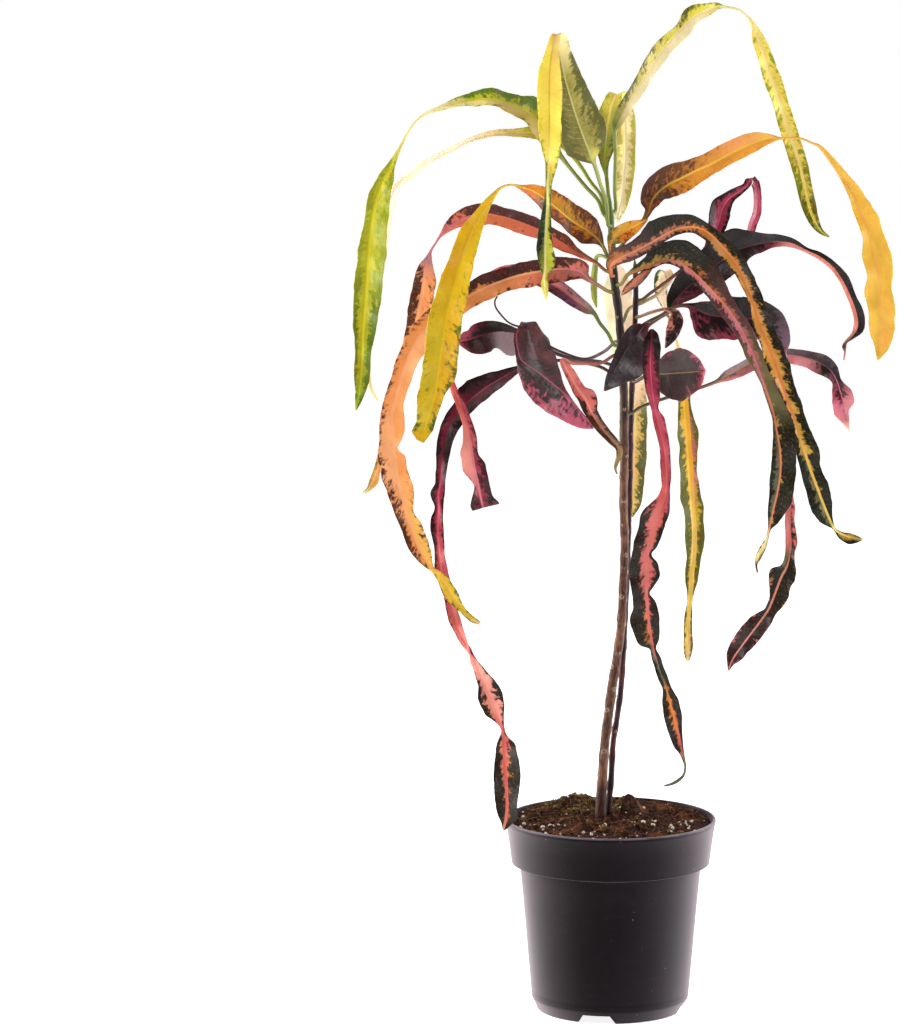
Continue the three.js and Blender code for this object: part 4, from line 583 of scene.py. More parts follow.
        "paint": """
            -2 petioleOlive petioleOlive moss 0 0, 3.5 crimsonDark/maroon crimsonDark nearBlack .3/.6 .4,
            5 crimson/orangeBrown crimsonDark nearBlack .62/.8 .5,
            7 crimson/maroon crimsonDark nearBlack .55/.85 .5, 9 crimsonDark/plumGrey wine nearBlack .6 .5,
            11 maroon/mauve wine nearBlack .5/.2 .4, 14 coral coral cocoa .1 .4,
            18 rosyCoral/coral coral blackGreen .1/.4 .6, 21 rosyCoral/coral coral blackGreen .1/.55 .7,
            22.5 greyOlive coral blackGreen .3/.6 .5,
            24.5 greyGreen/orange orangeSalmon blackGreen .7/.8 .9,
            27 orangeSalmon/honey orangeSalmon blackGreen .66/.8 .8,
            30 roseOrange/honey orangeSalmon maroonDark .74/.76 .7,
            33 coral/rose coralPale maroonDark .7/.66 .6, 36 maroon coral maroonDark .6 .5
        """,
    },
    "right_small_leaf": {
        "stem": "second", "at": 564, "slot": "leaf_maroon",
        "rows": """
            32 568 -8 1.3, 43 570 -16 1.4, 49 566.5 -20 3/4.5, 50 560 -22 6/6.5, 49 553 -23 6.5/5,
            46 546 -24 4.5/3.5, 42 539 -25 .6
        """,
        "paint": """
            -2 petioleOlive petioleOlive moss 0 0, 2 salmon maroon nearBlack .5/.6 .4,
            6 salmon/maroon maroon nearBlack .55/.6 .4
        """,
    },
    "left_upper_leaf": {
        "stem": "main", "at": 600, "slot": "leaf_orange", "hold": 0.12,
        "rows": """
            -13 607 5 1.4, -20 611 6 2 10, -30 616 8 4/3.5 15, -42 624 9 7/6 20, -56 632 10 7.5 20,
            -70 638 11 8 20, -85 643 11 8.5/8 20, -100 646 10 8 20, -112 645 8 9/8.5 15,
            -122 641 6 7.5/6 10, -131 635 3 4.5/3 5, -138 628 1 1.1, -141.5 622.5 0 .8, -145 617 -1 1,
            -147 611 -1 2.5/3, -149.5 603 -1 6/7 5, -151 590 0 8.5/10 10, -153.5 575 0 9/10 10,
            -157 558 0 8/9 10, -162 540 0 6/8 10, -168 520 0 7/9 10, -175 498 -1 7/6 10, -179 475 -2 6/5 5,
            -183.5 455 -3 4, -188 441 -4 3, -191.5 432 -5 3/4.5, -195 425.5 -6 1.6/2, -200 421.5 -7 .6
        """,
        "paint": """
            -2 petioleOlive petioleOlive moss 0 0, 2 rosyBrown/salmon salmon brown .5/.2 .5,
            4 salmon salmon greyMaroon .8/.25 .6, 7 salmon/roseOrange salmon greyMaroon .72/.2 .7,
            9 salmon rosyPink cocoa .5/.12 .6, 11 rosyPink/salmon rosyPink greyMaroon .2/.1 .4,
            14 greyRose rosyPink cocoa .2/.1 .3, 16 peach/apricot peach cocoa .66/.35 1.2,
            19 peach/apricot peach cocoa .62/.4 1.3, 22 apricot peach cocoa .5/.3 1.1,
            24 lemonGold/apricot peach greyOlive .4/.3 .8, 27 greyOlive/lemonGold straw cocoa .4/.3 .4
        """,
    },
    "left_orange_leaf": {
        "stem": "main", "at": 584, "slot": "leaf_orange",
        "rows": """
            -12 589.5 -8 1.5, -20.5 595 -12 2.5, -26 600 -15 9/5.5 5, -34 602 -18 9.5/8.5 10,
            -46 602 -22 10/10.5 15, -60 600 -26 9.5/11 15, -75 597 -30 10/10.5 15, -90 592 -34 10/9.5 15,
            -104 586 -38 10.5/9.5 15, -117 579 -41 10.5/9.5 15, -131 570 -44 10/9.5 15,
            -144 559.5 -47 10 15, -155 546 -50 10 15, -163.5 530 -53 8.5/9 15, -169 513 -55 8/7.5 15,
            -173.5 498 -57 8.5/7.5 10, -176 485 -58 9/9.5 10, -176 474 -58 10.5/10 10,
            -175.5 465 -59 11/7 10, -175 458 -59 12/3.5 10, -174 450 -59 12.5/8.5 10,
            -172.5 438 -60 12.5/9 5, -170 426 -60 11 5, -167 415 -60 10/8.5 5, -164.5 406 -60 9.5/5.5 5,
            -160.5 393 -60 8/9, -156.5 382 -60 8/9, -151.5 372 -60 6.5/7, -147 364 -60 3.5,
            -143.5 359.5 -60 1.8, -139 356 -60 3.5/3, -133 347 -60 4.5/5, -128.5 339 -60 5/5.5,
            -124 332 -60 3.5/4, -118 325 -60 2.5, -112 319.5 -60 2.5, -105.5 316 -60 1.2
        """,
        "paint": """
            -2 petioleGreen petioleGreen moss 0 0, 1.5 rosyBrown rosyPink rust .3 .6,
            3 salmon/rosyBrown rosyPink cocoa .6/.35 .7, 5 apricot/salmon peach maroon .78/.3 .8,
            7.5 apricot peach maroon .76/.22 .9, 9.5 apricot peach maroon .45/.12 1,
            12 apricot/peach peach maroon .25/.03 1.1, 15 apricot peach maroon .34/.03 1.1,
            18 peach/apricot peach maroon .22/.12 1.1, 21 peach/apricot peach cocoa .36/.18 1.2,
            25 apricot/goldPeach peach cocoa .45/.26 1.1, 28 apricot/goldPeach goldPeach cocoa .42/.4 .9,
            30 lemonGold goldPeach moss .2 .6, 34 lemonGold lemonGold moss .35 .7,
            37 rosyPink/lemonGold straw moss .1/.3 .4, 38 rosyPink rosyPink moss 0 .3
        """,
    },
    "left_longest_leaf": {
        "stem": "main", "at": 515, "slot": "leaf_coral", "hold": 0.3,
        "rows": """
            -8 523 9 1.3, -20 526.5 14 1.3, -40 529 14 1.3, -58 527.5 10 1.4, -70 524.5 6 1.7,
            -80 520 2 4 5, -90 514 -2 7/6 10, -100 508 -6 10.5/7 15, -109 501 -10 13.5/8 15,
            -114 496.7 -11 13.5/8 15, -118 493 -12 8.5/8 15, -124 486.5 -14 7/8 15, -130 477 -17 7/8.5 15,
            -134 465 -20 5.5/7 15, -136 452 -22 5/5.5 15, -137 440 -24 4.5/5 15, -137.5 430 -25 4 15,
            -139 420 -26 6.5/4.5 15, -139 410 -27 3.5/4 15, -139.5 400 -28 6/4.5 15,
            -139.5 388 -30 5/4.5 15, -138.5 375 -32 4/4.5 15, -137 362 -34 5 15, -134 348 -37 4.5 15,
            -130 334 -40 4/4.5 15, -126.5 320 -43 4.5 15, -122 308 -46 4 20, -116.5 298 -48 2.8/2.5 40,
            -113 291.5 -50 1 60, -110 284 -51 3.5/2.5 40, -106.5 277 -52 4.5/5 20, -102 267 -54 5.5/8.5 10,
            -98 257 -56 9.5/10 10, -94 247 -58 9.5/8.5 10, -90.5 239 -59 5.5/4.5 10, -88 232 -60 1.8 10,
            -87 228 -61 1.5 10, -86.5 223 -62 3.5/3 15, -86 216 -63 6.5/9 20, -85.5 207 -64 8.5/10.5 20,
            -85 198 -65 9/12 20, -84.5 188 -66 9.5/11 20, -84 178 -67 10.5/9.5 20, -83.5 168 -68 9.5/8.5 20,
            -84 160 -68 7/9.5 20, -85 153 -68 3.5/5 20, -86.5 146.5 -68 .8 20
        """,
        "paint": """
            -2 petioleDark petioleDark maroon 0 0, 4 slate/plumGrey wine nearBlack .3/.1 .4,
            6 charcoal/plumGrey roseRib nearBlack .4/.1 .35,
            8 charcoal/plumGrey roseRib nearBlack .4/.15 .35,
            10 crimsonDark/slate crimsonDark nearBlack .3 .5,
            12 crimsonDark/slate crimsonDark nearBlack .45/.5 .5,
            14 crimsonDark/charcoal wine nearBlack .55/.5 .5, 16 crimson rose maroonDark .62/.4 .6,
            18 crimson rose nearBlack .6/.4 .7, 20 coralDeep rose maroonDark .55/.3 .8,
            22 coralDeep rosyCoral maroon .4/.2 .8, 26 rosyCoral coral crimsonDark .25/.15 .6,
            28 coralPale/rosyCoral coral maroon .15 .5, 30 coralPale coralPale blackGreen .3 1.2,
            31.5 coralPale coralPale blackGreen .5/.52 2,
            33 orangeSalmon/coralPale coralPale blackGreen .45 2, 35.5 coral coral blackGreen .3 .8,
            38 orangeSalmon/coral coral blackGreen .58/.52 1.6,
            40 orangeSalmon/orange coral blackGreen .66 1.5,
            43 orangeSalmon/orange coral blackGreen .74/.72 1.2, 46 blackGreen orangeSalmon blackGreen .8 1
        """,
    },
    "left_folded_leaf": {
        "stem": "main", "at": 524, "slot": "leaf_maroon",
        "ribShift": [(4, 0), (5, 6.5), (6, 10), (7, 12), (8, 5), (9, 0.5), (10, -2), (11, -2.6), (13, -0.5)],
        "rows": """
            -10 528 2 1.3 180, -30 530 4 1.3 180, -50 537 3 1.5 180, -63 550 0 4 180,
            -68.5 559.5 -5 4.2 over, -68 556 -14 7.6, -67 548 -20 11.7, -63 535 -27 15, -57 523 -33 19/15,
            -49 512 -38 21/10, -40 501 -43 19/5, -30 490 -47 14/3, -22 481 -50 8.5/2.5, -15 474.3 -52 .8
        """,
        "hook": """
            -69.5 555.5 -14.4 .8, -76 556.5 -16.6 .8, -83 559.5 -17 .7, -89 565.5 -17 .7, -93.5 572 -17 .7,
            -94 577 -17 .7, -92 580.5 -17 .6
        """,
        "paint": """
            -2 petioleDark petioleDark maroon 0 0, 3 slate wine charcoal .2 .4,
            5 slate roseRib charcoal .25/.15 .5, 7 wine/slate roseRib charcoal .6/.12 .5,
            8 rose/slate roseRib slate .7/.12 .5, 9.3 rose/slate roseRib slate .6/.2 .5,
            10.2 rose/crimsonDark roseRib slate .46/.5 .5, 12 rose/crimson roseRib slate .36/.6 .5,
            14 crimson/maroon wine charcoal .3/.5 .3
        """,
    },
    "front_pink_leaf": {
        "stem": "main", "at": 533, "slot": "leaf_coral", "hold": 0.2,
        "rows": """
            -9 527 -8 1.3, -22 526.5 -12 1.3, -33 527 -15 1.5, -39.5 529 -18 2.5/2 over, -38 524 -24 3/4,
            -33 515 -26 3.5/5.5, -27 505 -27 5/5.5, -22.5 499 -27.5 5.5/9.5, -19.5 493.5 -28 6/8.5,
            -16.5 487 -28 5.5/5, -12 479.5 -28 4.8/4.5, -6 471.5 -28 4.2, 0 464.5 -28 3.4/4,
            5 458.5 -27.5 2.6/3, 5.6 451.5 -27 2.4/2, 3.4 446 -26.5 1.6, 2.6 441.5 -26 1, 4 437.5 -25.5 .6
        """,
        "paint": """
            -2 petioleDark petioleDark maroon 0 0, 3 rosyCoral coralPale cocoa .1 .5,
            5 rosyCoral coralPale cocoa .3/.2 .8, 7 coral/rosyCoral coralPale cocoa .5/.22 1,
            8.5 coral/rosyCoral coralPale blackGreen .6/.45 .9,
            10 greyOlive/rosyBrown rosyBrown cocoa .75/.55 .7, 11.5 greyOlive rosyBrown cocoa .7/.5 .6,
            13 greyOlive/oliveRib rosyBrown cocoa .55/.35 .5, 14 oliveRib oliveRib cocoa .35/.3 .4,
            17 petioleOlive/oliveRib oliveRib cocoa .4/.25 .3
        """,
    },
    "left_curl_leaf": {
        "stem": "main", "at": 543, "slot": "leaf_maroon",
        "rows": """
            -7 536 18 1.3, -22 530 26 1.3, -42 536 24 1.3, -60 545 20 1.5, -67 548 18 2.2/2.5,
            -72 549.8 16 2.8/13, -80 551.5 13 4.5/19, -90 552.5 10 7.5/16, -99 551 7 10/13 5,
            -107 548.5 4 10.5/15 10, -114 546 2 7.5/12.5, -119 545 0 7, -122.5 544.5 -1 3
        """,
        "paint": """
            -2 petioleDark petioleDark maroon 0 0, 5 maroon/greyMauve wine nearBlack .3/0 .3,
            7 maroon/greyMauve wine nearBlack .6/.02 .3, 8.2 maroon/plumGrey wine nearBlack .6/.3 .4,
            9 crimsonDark/maroon crimsonDark nearBlack .55/.5 .5,
            10 crimson/maroon crimson nearBlack .4/.6 .6, 12 crimson rose nearBlack .25/.3 .5
        """,
    },
    "left_salmon_leaf": {
        "stem": "main", "at": 541, "slot": "leaf_coral", "hold": 0.2,
        "rows": """
            -4 551 -6 1.4, -10 558.5 -7 1.4, -15 566.5 -7 2/1.5, -20 570 -7 4, -30 577 -6 5.5 5,
            -42 586 -4 6.5 10, -56 594 -2 7.5/6 10, -72 598 -1 8 10, -88 596 -3 8 10, -102 589 -7 7 5,
            -112 580 -13 4, -119 569 -20 1, -124 555 -28 .9, -128 538 -36 .9, -129.5 521 -42 1.2,
            -127.5 508 -46 2.6, -122 494 -48 3.2/3.8, -117 480 -50 3.5/4.5, -114 467 -51 5.5,
            -112 454 -52 9.5/4.5, -110.5 444 -53 9.5/9, -108.5 435 -53 6/9, -107 428 -54 3.5/9,
            -105.5 420 -54 7/9.5, -104 413 -54 9.5/12, -103.2 410 -54 9/13
        """,
        "paint": """
            -2 petioleGreen petioleGreen moss 0 0, 2 petioleOlive petioleOlive moss 0 0,
            4 greyRose/mauve coral wine .3 .5, 6 rosyPink/mauve coral wine .25/.5 .6,
            9 rosyPink/greyRose coral maroon .3/.4 .6, 11 coral coral maroon .2 .4,
            15 coral coral crimsonDark .2 .4, 16 coral/coralDeep coral crimsonDark .15/.35 .6,
            18.5 coralPale/coralDeep rosyPink maroon .1/.4 .7,
            20 coralPale/crimson rosyPink maroon .22/.5 .8, 22 rosyPink/crimson rosyPink maroon .2/.6 .8,
            23.5 crimsonDark/crimson rosyPink charcoal .5/.6 .8, 25 charcoal/plumGrey rose nearBlack .3 .8
        """,
    },
    "back_yellow_leaf": {
        "stem": "main", "at": 559, "slot": "leaf_gold", "calm": 0.5,
        "rows": """
            13 570.5 14 1.4, 25 576 20 1.4, 38 584 27 1.5, 45 594 35 3, 42 600.5 43 4.5 over,
            38 596 49 6/5 180, 37.5 588 51 6/5 180, 39 579 53 4.5/4 180, 42 571 55 2.2 180, 45 563 56 1 90,
            48.5 552 57 1, 52 541 58 2, 55 525 60 5, 57 510 62 6, 58.5 495 64 6/4 -10,
            59.5 480 66 7.5/6.5 -20, 60.5 470 67 9 -20, 61 460 68 7/8 -20, 62 450 69 9/6 -20,
            62.5 440 70 8.5/5.5 -20, 63 430 71 8.5/7 -20, 64 420 72 9.5/7 -20, 64.5 410 73 7.5/9.5 -20,
            65.5 400 74 7/8.5 -20, 66 390 75 7.5/8.5 -20, 66 380 75 7/8 -15, 65.5 370 76 5.5/6.5 -10,
            64.5 360 76 5.5/6 -5, 64 350 76 5, 63.5 342 76 3, 62.8 333 76 2.2, 62 322 75 3.5/3,
            61.8 310 75 3.8/3.2, 61.8 298 74 3.8/4, 61.6 290 74 2.8/2.7, 61.5 285.5 74 1.2
        """,
        "paint": """
            -2 petioleGreen petioleGreen moss 0 0, 3 peachPale cream moss .1 .5,
            5 peachPale/cream cream deepGreen .3/.55 .6, 7 peachPale cream deepGreen .2/.3 .6,
            11 cream cream moss 0 .3, 13 lemonGold/rosyPink gold moss .35/.3 2,
            16 lemonGold/rosyBrown gold moss .55/.4 2.4, 19 lemonGold/rosyPink gold moss .55/.3 2.4,
            22 lemonGold goldPale moss .66/.5 2.2, 26 lemonGold goldPale moss .6/.62 2.2,
            30 lemonGold goldPale moss .6 1.8, 32 goldPale goldPale moss .3/.5 1.2,
            35 goldPale peachPale moss .35 1, 37 peach peach moss .1 .5
        """,
    },
    "back_olive_leaf": {
        "stem": "main", "at": 594, "slot": "leaf_pale",
        "rows": """
            1 602 16 1.5, 2 606 28 2.5 over, 3 596 38 8 180, 4 582 45 12 185, 6 568 50 11/12 185,
            9 550 57 11.5/12 185, 13 528 66 11.5/12 185, 16.5 507 74 10.5 185, 17.5 490 81 10.5/12 185,
            17.5 472 88 10.5/12 185, 17 455 94 11 185, 17 440 98 9.5/9 185, 16.5 425 101 9/6 185,
            16 412 103 7/4 185, 15.5 402.5 104 1.2 185
        """,
        "paint": """
            -2 petioleGreen petioleGreen moss 0 0, 2 peachPale/cream cream lime .05 .6,
            5 peachPale/cream cream lime .02/.05 .8, 6.5 peachRose/cream cream paleOlive .1/.2 .9,
            8.5 lemonGold/paleOlive goldPale moss .5 1.3, 11 lemonGold/paleOlive goldPeach moss .6 1.5,
            13 lemonGold/oliveGold lemonGold moss .5/.6 1.1, 14 lemonGold/moss lemonGold moss .4 .5
        """,
    },
    "left_narrow_leaf": {
        "stem": "main", "at": 609, "slot": "leaf_lime",
        "rows": """
            -9 613 16 1.3, -13 612 24 1.6 over, -14.5 602 30 2.4 180, -15 590 34 2.4/2.8 180,
            -14.5 580 36 2/2.6 180, -13 571.5 37 .6 180
        """,
        "paint": """
            -2 petioleGreen petioleGreen moss 0 0, 5 leafGreen/lime lime moss .3/.2 .4
        """,
    },
    "front_bud_leaf": {
        "stem": "second", "at": 596, "slot": "leaf_coral",
        "rows": """
            24 601 2 1.2, 29.5 603 -3 1.8 over, 27 600 -9 2.5, 20 593.5 -12 3.8, 12.5 587.5 -13 3,
            7 581.5 -14 .6
        """,
        "paint": """
            -2 petioleOlive petioleOlive moss 0 0, 2 roseOrange/rosyBrown roseOrange cocoa .3/.4 .3,
            5 rosyBrown roseOrange cocoa .4 .3
        """,
    },
}

# stems: rows of [across, up, depth, radius] in mm; scars of (height, angle round the stem, size)
stems = {
    "main": {
        "rows": [
            [-8.6, 95, 0, 4], [-8, 163, 0, 4.5], [-6.7, 190, 0, 4.1], [-5, 217, 0, 3.9], [-2, 242, 0, 3.9],
            [0.8, 265, 0, 4], [3.3, 280, 0, 3.8], [5.6, 296, 0, 3.7], [8.2, 319, 0, 3.6], [9.4, 349, 0, 3.5],
            [10.3, 380, 0, 3.4], [9.2, 418, 0, 3.5], [9.8, 455, 0, 3.4], [9.6, 487, 0, 3.3],
            [7.5, 530, 0, 3.2], [4.3, 570, 0, 3.2], [2, 586, 0, 3.4], [0.3, 600, 0, 3.3], [-1, 620, 0, 3],
            [-1.8, 640, 0, 2.6], [-2.6, 652, 0, 2.2], [-3, 661, 0, 0.9],
        ],
        "node": "main_stem", "slot": "bark", "ridge": 0.16, "scarRise": 0.55, "smallScar": 1,
        "scars": [
            (192, -150, 1.9), (212, -95, 2.3), (230, -20, 1.9), (246, -120, 2.3), (263, -60, 2.2),
            (281, -140, 2.0), (292, -85, 2.2), (316, -30, 2.0), (338, -110, 2.1), (358, -20, 1.9),
            (372, -70, 2.0), (396, -130, 1.8), (416, -84, 2.0), (435, -150, 1.7), (452, -50, 1.8),
        ],
        "moreScars": 26, "scarsFrom": 185, "scarsTo": 590,
        "dark": "24130d", "mid": "6b402a", "light": "93654c", "scar": "a48972", "top": "261610",
        "topFrom": 0.4, "topTo": 0.54, "green": "5d7434", "greenFrom": 0.6, "greenTo": 0.64, "rough": 0.48,
    },
    "second": {
        "rows": [
            [-3, 100, 6, 2.3], [-1.6, 163, 6, 2.5], [0.3, 190, 6, 2.5], [1.7, 217, 6, 2.4], [5, 240, 7, 2.4],
            [8, 265, 8, 2.4], [10, 300, 9, 2.4], [12, 350, 10, 2.4], [14, 420, 10, 2.3], [15, 490, 10, 2.3],
            [17, 540, 10, 2.3], [18.3, 585, 10, 2.2], [17.6, 604, 10, 1.8], [17.2, 610, 10, 0.7],
        ],
        "node": "second_stem", "slot": "young_bark", "ridge": 0.09, "scarRise": 0.3, "smallScar": 0.75,
        "scars": [(228, -80, 1.3), (392, -100, 1.2), (470, -70, 1.2)],
        "moreScars": 18, "scarsFrom": 200, "scarsTo": 580,
        "dark": "1c090b", "mid": "3b161a", "light": "5c2f2d", "scar": "8a685c", "top": "2e1014",
        "topFrom": 0.5, "topTo": 0.6, "green": "6b6a3c", "greenFrom": 0.585, "greenTo": 0.61, "rough": 0.55,
    },
}
stemLook = {"columns": 44, "step": 1.3, "sunk": 0.15, "swell": 0.35, "swellSpacing": 23, "spiral": 137.5,
            "firstTurn": 40, "scarSquash": 0.85, "tip": 4}
eye = Vector(cameraLook["place"])


def slide(across, height, depth):
    # a place in mm as the camera sees it, moved away from the camera along its line of sight
    flat = Vector((across, 0, height)) / 1000
    return flat + (flat - eye) * (depth / (-1000 * eye.y))


def stemAt(stem, height):
    heights = [row[1] for row in stem["rows"]]
    place, depth, radius = [glider(heights, [row[k] for row in stem["rows"]])(height) for k in (0, 2, 3)]
    return slide(place, height, depth), radius


def scarsOf(stem, rng):
    # the listed scars, and small ones that climb the stem in a spiral between them
    scars = list(stem["scars"])
    turn = stemLook["firstTurn"]
    for i in range(stem["moreScars"]):
        height = mix(stem["scarsFrom"], stem["scarsTo"], (i + 0.5) / stem["moreScars"]) + rng.uniform(-3, 3)
        turn += stemLook["spiral"]
        angle = (turn + rng.uniform(-12, 12)) % 360
        angle = angle - 360 if angle > 180 else angle
        if all(abs(height - h) > 7 or abs(angle - t) > 60 for h, t, size in scars):
            scars.append((height, angle, rng.uniform(0.9, 1.5) * stem["smallScar"]))
    return scars


def growStem(stem, rng):
    look = stemLook
    scars = scarsOf(stem, rng)
    low, high = stem["rows"][0][1], stem["rows"][-1][1]
    count = round((high - low) / look["step"])
    rings, notes = [], []
    for i in range(count + 1):
        height = mix(low, high, i / count)
        centre, radius = stemAt(stem, height)
        swell = min(look["swell"] * max(0, cos(2 * pi * height / look["swellSpacing"])), radius / 4)
        near = [scar for scar in scars if abs(scar[0] - height) < 4]
        ring, note = [], []
        for column in range(look["columns"]):
            angle = 2 * pi * column / look["columns"]
            facing = Vector((cos(angle), sin(angle), 0))
            mark, rise = 0.0, 0.0
            for h, t, size in near:
                gap = (degrees(angle) - t + 180) % 360 - 180
                far = hypot((height - h) / look["scarSquash"], radians(gap) * radius) / size
                mark = max(mark, (1 - smoothStep(far, 0.85, 1.15)) * mix(0.25, 1, smoothStep(far, 0.3, 0.7)))
                rise = max(rise, (1 - smoothStep(far, 0.6, 1.5)) * mix(0.65, 1, smoothStep(far, 0.2, 0.7)))
            grain = noise.noise(Vector((facing.x * radius * 1.3, facing.y * radius * 1.3, height / 9)))
            grain += 0.6 * noise.noise(Vector((facing.x * radius * 2.6, facing.y * radius * 2.6, height / 4)))
            out = radius - look["sunk"] + swell + stem["ridge"] * grain + stem["scarRise"] * rise
            out *= mix(1, 0.9, smoothStep(height, high - look["tip"], high))
            ring.append(centre + facing * (out / 1000))
            note.append(mark)
        rings.append(ring)
        notes.append(note)
    bm = bmesh.new()
    scarLayer = bm.verts.layers.float.new("scar")

    def tag(vert, row, column):
        vert[scarLayer] = notes[row][column]

    sleeve(bm, rings, tag)
    closeSleeves(bm)
    finishedPiece(stem["node"] + "_wood", bm, [barkSurface(stem)], stem["node"])


def barkSurface(stem):
    s = Surface(stem["slot"])
    names = ("dark", "mid", "light", "top", "green", "scar")
    dark, mid, light, top, green, scarPale = [linear(stem[name]) for name in names]
    height = s.split(s.objectPlace())[2]
    fine = s.noise(s.objectPlace((900, 900, 160)), 1.0, 4.0, 0.62)
    broad = s.noise(s.objectPlace((90, 90, 40)), 1.0, 3.0, 0.6)
    crack = s.noise(s.objectPlace((1300, 1300, 70)), 1.0, 3.0, 0.7)
    colour = s.blend(s.ramp(fine, 0.34, 0.66), dark, mid)
    colour = s.blend(s.ramp(broad, 0.45, 0.7, 0.0, 0.75), colour, light)
    colour = s.blend(s.ramp(height, stem["topFrom"], stem["topTo"]), colour, s.blend(fine, dark, top))
    colour = s.blend(s.ramp(height, stem["greenFrom"], stem["greenTo"]), colour, green)
    colour = s.blend(s.ramp(crack, 0.6, 0.72, 0.0, 0.7), colour, dark)
    scar = s.ramp(s.attribute("scar", "Fac"), 0.2, 0.8) * s.ramp(fine, 0.3, 0.6, 0.25, 0.85)
    colour = s.blend(scar, colour, scarPale)
    # darker towards the foot
    colour = s.blend(s.ramp(height, 0.2, 0.16, 0.0, 0.6), colour, dark)
    rough = s.ramp(fine, 0.3, 0.7, stem["rough"] + 0.1, stem["rough"] - 0.08)
    s.paint(colour, rough, Specular_IOR_Level=0.26)
    s.bump(fine - s.ramp(crack, 0.56, 0.72), 0.0004, 0.7)
    return s.material


leafLook = {
    "halfColumns": 14, "step": 2.0, "fold": 16, "wave": 1.3, "waveLength": 34, "frill": 0.4,
    "frillLength": 15, "ragged": 0.05, "threadWidth": 3.4, "bladeWidth": 8, "narrowest": 0.5,
    "bladeTop": 0.3, "bladeUnder": 0.22, "ridge": 0.55, "ridgeReach": 1.1, "groove": 0.25, "grooveReach": 0.9,
    "petiole": 1.5, "widestPetiole": 2, "collar": 2.6, "bark": 0.475, "rootDepth": 1.2, "rootSwell": 0.5,
}


def curveAt(points, i, w):
    # centripetal curve through the points: place and heading at w of the way from point i to the next
    last = len(points) - 1
    p1, p2 = points[i], points[i + 1]
    p0 = points[i - 1] if i > 0 else 2 * points[0] - points[1]
    p3 = points[i + 2] if i + 2 <= last else 2 * points[last] - points[last - 1]
    d0, d1, d2 = [max((q - p).length, 1e-9) ** 0.5 for p, q in ((p0, p1), (p1, p2), (p2, p3))]
    t1 = ((p1 - p0) / d0 - (p2 - p0) / (d0 + d1) + (p2 - p1) / d1) * d1
    t2 = ((p2 - p1) / d1 - (p3 - p1) / (d1 + d2) + (p3 - p2) / d2) * d1
    c2, c3 = 3 * (p2 - p1) - 2 * t1 - t2, 2 * (p1 - p2) + t1 + t2
    return p1 + t1 * w + c2 * w * w + c3 * w ** 3, (t1 + 2 * c2 * w + 3 * c3 * w * w).normalized()


def squareTo(vector, heading):
    return (vector - heading * vector.dot(heading)).normalized()


def readRows(text):
    # place, half widths as seen and turn of each row
    rows = []
    for entry in text.split(","):
        sideways, height, depth, widths, turn = (entry.split() + ["0"])[:5]
        place = slide(float(sideways), float(height), float(depth))
        sides = [float(width) for width in pair(widths)]
        rows.append((place, sides, turn if turn == over else float(turn)))
    return rows


def trueWidth(row):
    # a folded or turned blade is wider than it looks
    place, (a, b), turn = row
    if turn == over:
        return row
    lean, fold = radians(turn), radians(leafLook["fold"])
    return place, (a / max(0.5, abs(cos(lean - fold))), b / max(0.5, abs(cos(lean + fold)))), turn


def readPaint(text):
    # colours and amounts of a leaf by row number
    stops = []
    for entry in text.split(","):
        row, ground, rib, mark, cover, ribWidth = entry.split()
        colours = [Vector(linear(palette[name])) for name in (*pair(ground), rib, mark)]
        stops.append((float(row), colours, [float(amount) for amount in (*pair(cover), ribWidth)]))

    def at(row):
        if row <= stops[0][0]:
            return stops[0][1:]
        for before, after in zip(stops, stops[1:]):
            if row <= after[0]:
                t = (row - before[0]) / (after[0] - before[0])
                colours = [a.lerp(b, t) for a, b in zip(before[1], after[1])]
                return colours, [mix(a, b, t) for a, b in zip(before[2], after[2])]
        return stops[-1][1:]
    return at


